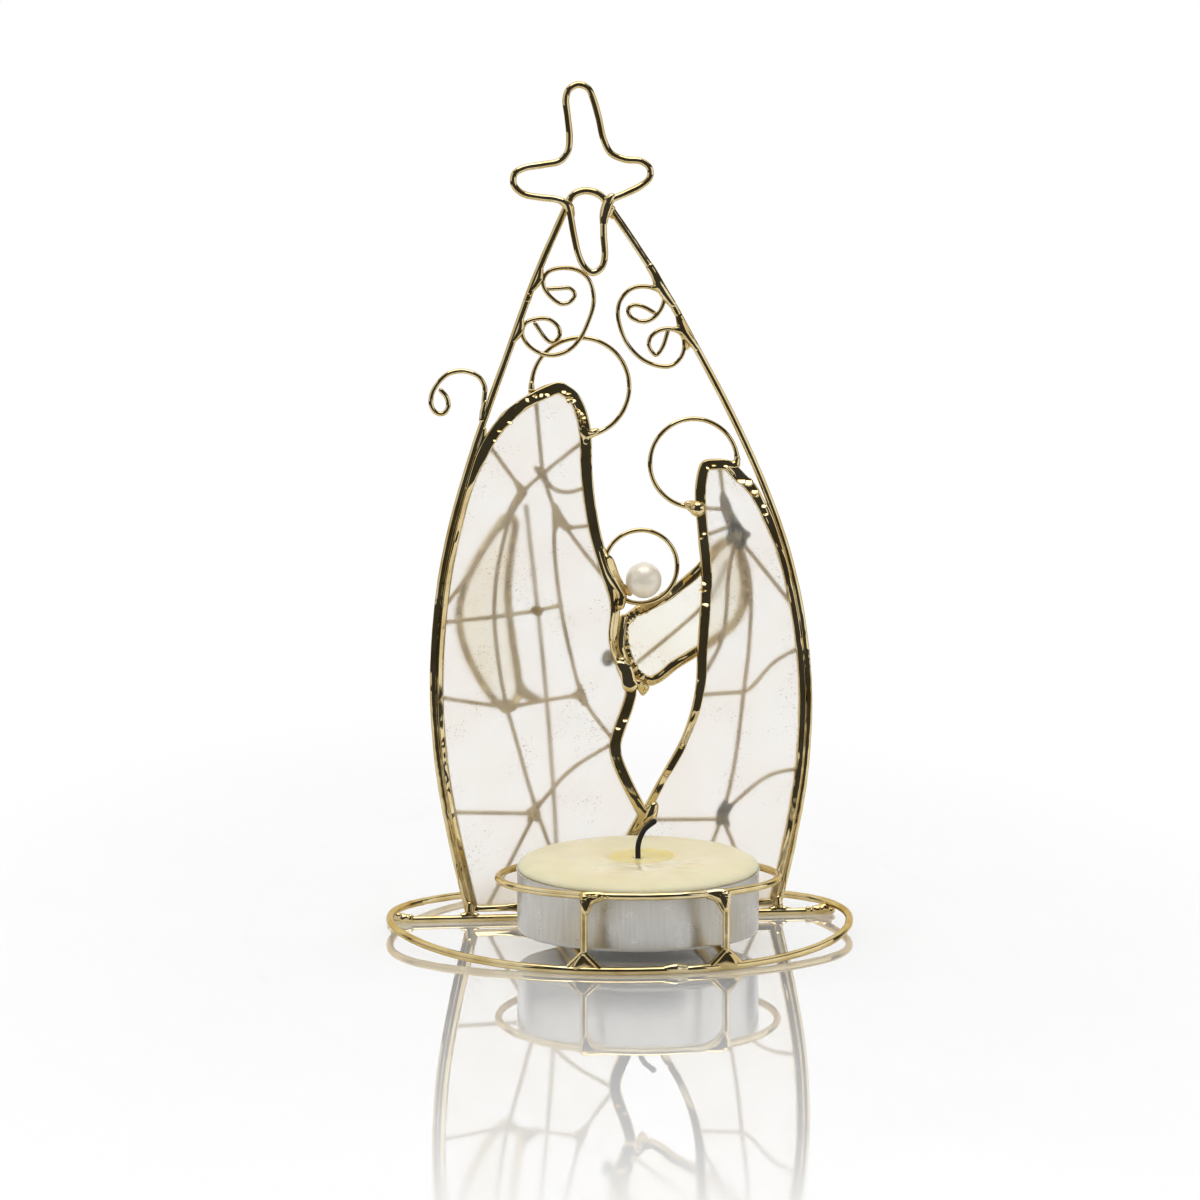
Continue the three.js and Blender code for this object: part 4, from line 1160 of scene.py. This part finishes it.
grey_webs = at_depth(
    tracery_y,
    [
        (18.4, 69.6, 0.5), (18.8, 68, 0.8), (19.3, 66.4, 0.85), (20.2, 64.6, 1), (20.9, 63.1, 1.3),
        (21.4, 61.4, 0.9),
    ],
    [(20.9, 63.1, 1.1), (22.5, 63, 0.6)],
    [(20.4, 63.4, 0.9), (19.3, 62.4, 0.5)],
    [(19, 18.8, 0.45), (18.6, 16.9, 1), (17.9, 15.2, 0.55)],
    [(18.6, 16.9, 0.8), (20, 18.2, 0.42)],
    [(18.6, 16.6, 0.7), (19.4, 14.8, 0.42)],
)
grey_webs += at_depth(arm_y - 0.6, [(-0.4, 43.4, 0.9), (-0.5, 42.4, 1.1)])
piece("grey_solder_on_tracery", [solder(grey_webs)], grey_solder, "holder")

# Solder on the base, the posts and the candle ring


def on_base_ring(x):
    return -math.sqrt(base_ring_radius**2 - x**2)


def on_candle_ring(x):
    to_front = math.sqrt(candle_ring_radius**2 - (x - candle_x) ** 2)
    return candle_y - to_front, candle_ring_height + to_front * math.sin(candle_ring_tilt)


web_half_foot = 2.4
web_reach = 3.4
base_joints = []
base_webs = []
for side in (-1, 1):
    x = candle_x + side * post_half_spacing
    for web_x in (x + web_half_foot * side, x - web_half_foot * side):
        base_joints.append([(x, post_y, 3.3, 0.5), (web_x, on_base_ring(web_x), 0.9, 0.5)])
    web_y = post_y - base_ring_wire + 0.1
    web_foot = [(x + 1.7, web_y, 1.0), (x, web_y, 0.6), (x - 1.7, web_y, 1.0)]
    base_webs.append(foil([(x, post_y - 0.35, 3.3), *web_foot]))
    ring_y, ring_z = on_candle_ring(x)
    end_x = x - web_reach * side
    end_y, end_z = on_candle_ring(end_x)
    base_joints.append([(x, post_y, ring_z - 0.2, 0.62), (x, ring_y, ring_z, 0.55)])
    brace_bend = (x - 1.2 * side, ring_y - 0.6, ring_z - 0.9, 0.5)
    base_joints.append([(x, post_y, ring_z - 3.0, 0.5), brace_bend, (end_x, end_y, end_z, 0.46)])
    web_corners = [
        (x + 0.5 * side, post_y - 0.1, ring_z + 0.4),
        (end_x, end_y - 0.3, end_z + 0.35),
        (x - 1.1 * side, post_y - 0.3, ring_z - 1.3),
        (x - 0.1 * side, post_y - 0.85, ring_z - 2.7),
    ]
    base_webs.append(foil(web_corners))
    crumb_end = (end_x - 3 * side, end_y - 0.3, end_z + 0.2)
    base_joints += crumbs((x, post_y - 0.3, ring_z), crumb_end, 0.6, 16, 0.26, 3 + side)
    rail_lump = [(x, bar_y - 0.1, 1.4, 0.85), (x, bar_y + 0.3, 1.0, 0.7)]
    base_joints.append([(x, bar_y - 1.6, rail_height - 0.3, 0.5), *rail_lump])
    bar_x = side * (bar_half_length - 0.6)
    base_joints.append([(bar_x - side * 2.4, bar_y, 0.75, 0.62), (bar_x, bar_y, 1.2, 0.72)])
    lump_ends = (bar_x - side * 3.4, bar_y - 0.2, 0.8), (bar_x, bar_y - 0.2, 1.2)
    base_joints += crumbs(*lump_ends, (0.3, 0.8, 0.7), 22, 0.4, 8 + side)
    foot_x = arch_leg(side)[0][0]
    base_joints.append([(foot_x, bar_y + 0.5, 2.8, 0.6), (foot_x, bar_y + 0.3, 1.4, 0.8)])
    foot_lump = (bar_y + 0.1, 0.9, 0.58)
    base_joints.append([(foot_x - 1.2, *foot_lump), (foot_x + 1.2, *foot_lump)])
panel_lump = [(-3.4, 0.5, 2.6, 0.8), (-2.5, 0.3, 1.6, 0.95), (-1.6, 0.5, 2.6, 0.8)]
base_joints.append([(x, bar_y + y, z, radius) for x, y, z, radius in panel_lump])
butt_angle = math.radians(-84)
butt_x = base_ring_radius * math.cos(butt_angle)
butt_y = base_ring_radius * math.sin(butt_angle)
butt = (butt_x, butt_y, 0.85, 0.78)
base_joints.append([(butt_x - 1.6, butt_y - 0.1, 0.75, 0.6), butt])
base_joints.append([butt, (butt_x + 1.8, butt_y + 0.2, 0.75, 0.6)])
piece("solder_on_base", [solder(base_joints), *base_webs], gold, "holder")

# Floor, in metres: it mirrors only at low angles
floor_mesh = bpy.data.meshes.new("floor")
floor_corners = [(-0.4, -1.0, 0), (1.6, -1.0, 0), (1.6, 2.4, 0), (-0.4, 2.4, 0)]
floor_mesh.from_pydata(floor_corners, [], [(0, 1, 2, 3)])
floor = in_scene("floor", floor_mesh)
floor_depth = {"Subsurface Weight": 1.0, "Subsurface Radius": (1, 1, 1), "Subsurface Scale": 0.03}
ground = Finish("white_floor", {"IOR": 1.5, **floor_depth})
sheen = ground.noise(40, 2)
ground.feed("Base Color", ground.shades(sheen, (0.90, 0.90, 0.90), (0.92, 0.92, 0.92)))
grazing = ground.add("LayerWeight", "Facing", {})
ground.feed("Metallic", ground.between(grazing, 0.72, 0.80, 0.0, 0.5))
ground.feed("Roughness", ground.between(grazing, 0.68, 0.75, 0.3, 0.02))

# It turns white away from the object, and metal sees it up to a line in front, in millimetres
lit_front = 100
lit_fade = 20
far_behind = 1000
away = ground.between(ground.reach((0, 0, 0), (1, 0.45, 0)), 60, 130)
to_camera = ground.add("LightPath", "Is Camera Ray", {})
to_metal = ground.add("LightPath", "Is Glossy Ray", {})
plain = ground.shader.outputs["BSDF"]
white = ground.add("Emission", "Emission", {})
clear = ground.add("BsdfTransparent", "BSDF", {})
blend = {0: ground.times(away, to_camera), 1: plain, 2: white}
blended = ground.add("MixShader", "Shader", blend)
forwards = ground.reach((0, far_behind, 0), (0, 1, 0))
front_edge = far_behind + lit_front
in_front = ground.between(forwards, front_edge, front_edge + lit_fade)
cut = {0: ground.times(in_front, to_metal), 1: blended, 2: clear}
surface = ground.tree.nodes["Material Output"].inputs["Surface"]
ground.tree.links.new(ground.add("MixShader", "Shader", cut), surface)
floor_mesh.materials.append(ground.material)

# Light, in metres: a white sweep behind the object and over it, with dark sides and front
sweep_sides = (0.8, 0.55)
sweep_front = (-0.4, -0.15)
room_light = 0.05
world = bpy.data.worlds.new("sweep")
scene.world = world
world.use_nodes = True
sky = world.node_tree


def calculated(operation, *values):
    """Result of one step of arithmetic on numbers or other results."""
    return add_node(sky, "Math", "Value", dict(enumerate(values)), operation=operation)


def faded(value, edges):
    """Smooth step from 0 at the first edge to 1 at the second."""
    limits = {"Value": value, "From Min": edges[0], "From Max": edges[1]}
    return add_node(sky, "MapRange", "Result", limits, interpolation_type="SMOOTHSTEP")


ray = {"Vector": add_node(sky, "TexCoord", "Generated", {})}
sideways = calculated("ABSOLUTE", add_node(sky, "SeparateXYZ", "X", ray))
backwards = add_node(sky, "SeparateXYZ", "Y", ray)
sweep = calculated("MULTIPLY", faded(sideways, sweep_sides), faded(backwards, sweep_front))
camera_ray = add_node(sky, "LightPath", "Is Camera Ray", {})
strength = calculated("MAXIMUM", calculated("MAXIMUM", sweep, room_light), camera_ray)
background = sky.nodes["Background"]
background.inputs["Color"].default_value = (1, 1, 1, 1)
sky.links.new(strength, background.inputs["Strength"])


def softbox(name, place, size, watts, in_reflections=True):
    """A soft oblong lamp that faces the middle of the object."""
    data = bpy.data.lights.new(name, "AREA")
    data.shape = "RECTANGLE"
    data.size, data.size_y = size
    data.energy = watts
    lamp = in_scene(name, data)
    lamp.location = place
    aim = Vector((0, 0, 0.05)) - Vector(place)
    lamp.rotation_euler = aim.to_track_quat("-Z", "Y").to_euler()
    lamp.visible_camera = False
    lamp.visible_glossy = in_reflections


softbox("top_softbox", (0.0, -0.2, 1.05), (0.9, 0.9), 5.4)
softbox("right_softbox", (1.05, -0.25, 0.3), (1.9, 0.6), 3.6)
softbox("left_softbox", (-1.0, 0.0, 0.45), (1.6, 0.8), 2.9)
softbox("front_fill", (-0.2, -1.3, 0.4), (1.4, 0.8), 4.2, in_reflections=False)

# Camera, in metres
camera_data = bpy.data.cameras.new("camera")
camera_data.sensor_width = 36
camera_data.lens = 103.26
camera_data.clip_start = 0.01
camera = in_scene("camera", camera_data)
camera.location = (-0.06704, -0.54598, 0.10493)
camera.rotation_euler = (math.radians(84.66), 0, math.radians(-6.671))
scene.camera = camera
scene.view_settings.view_transform = "Standard"
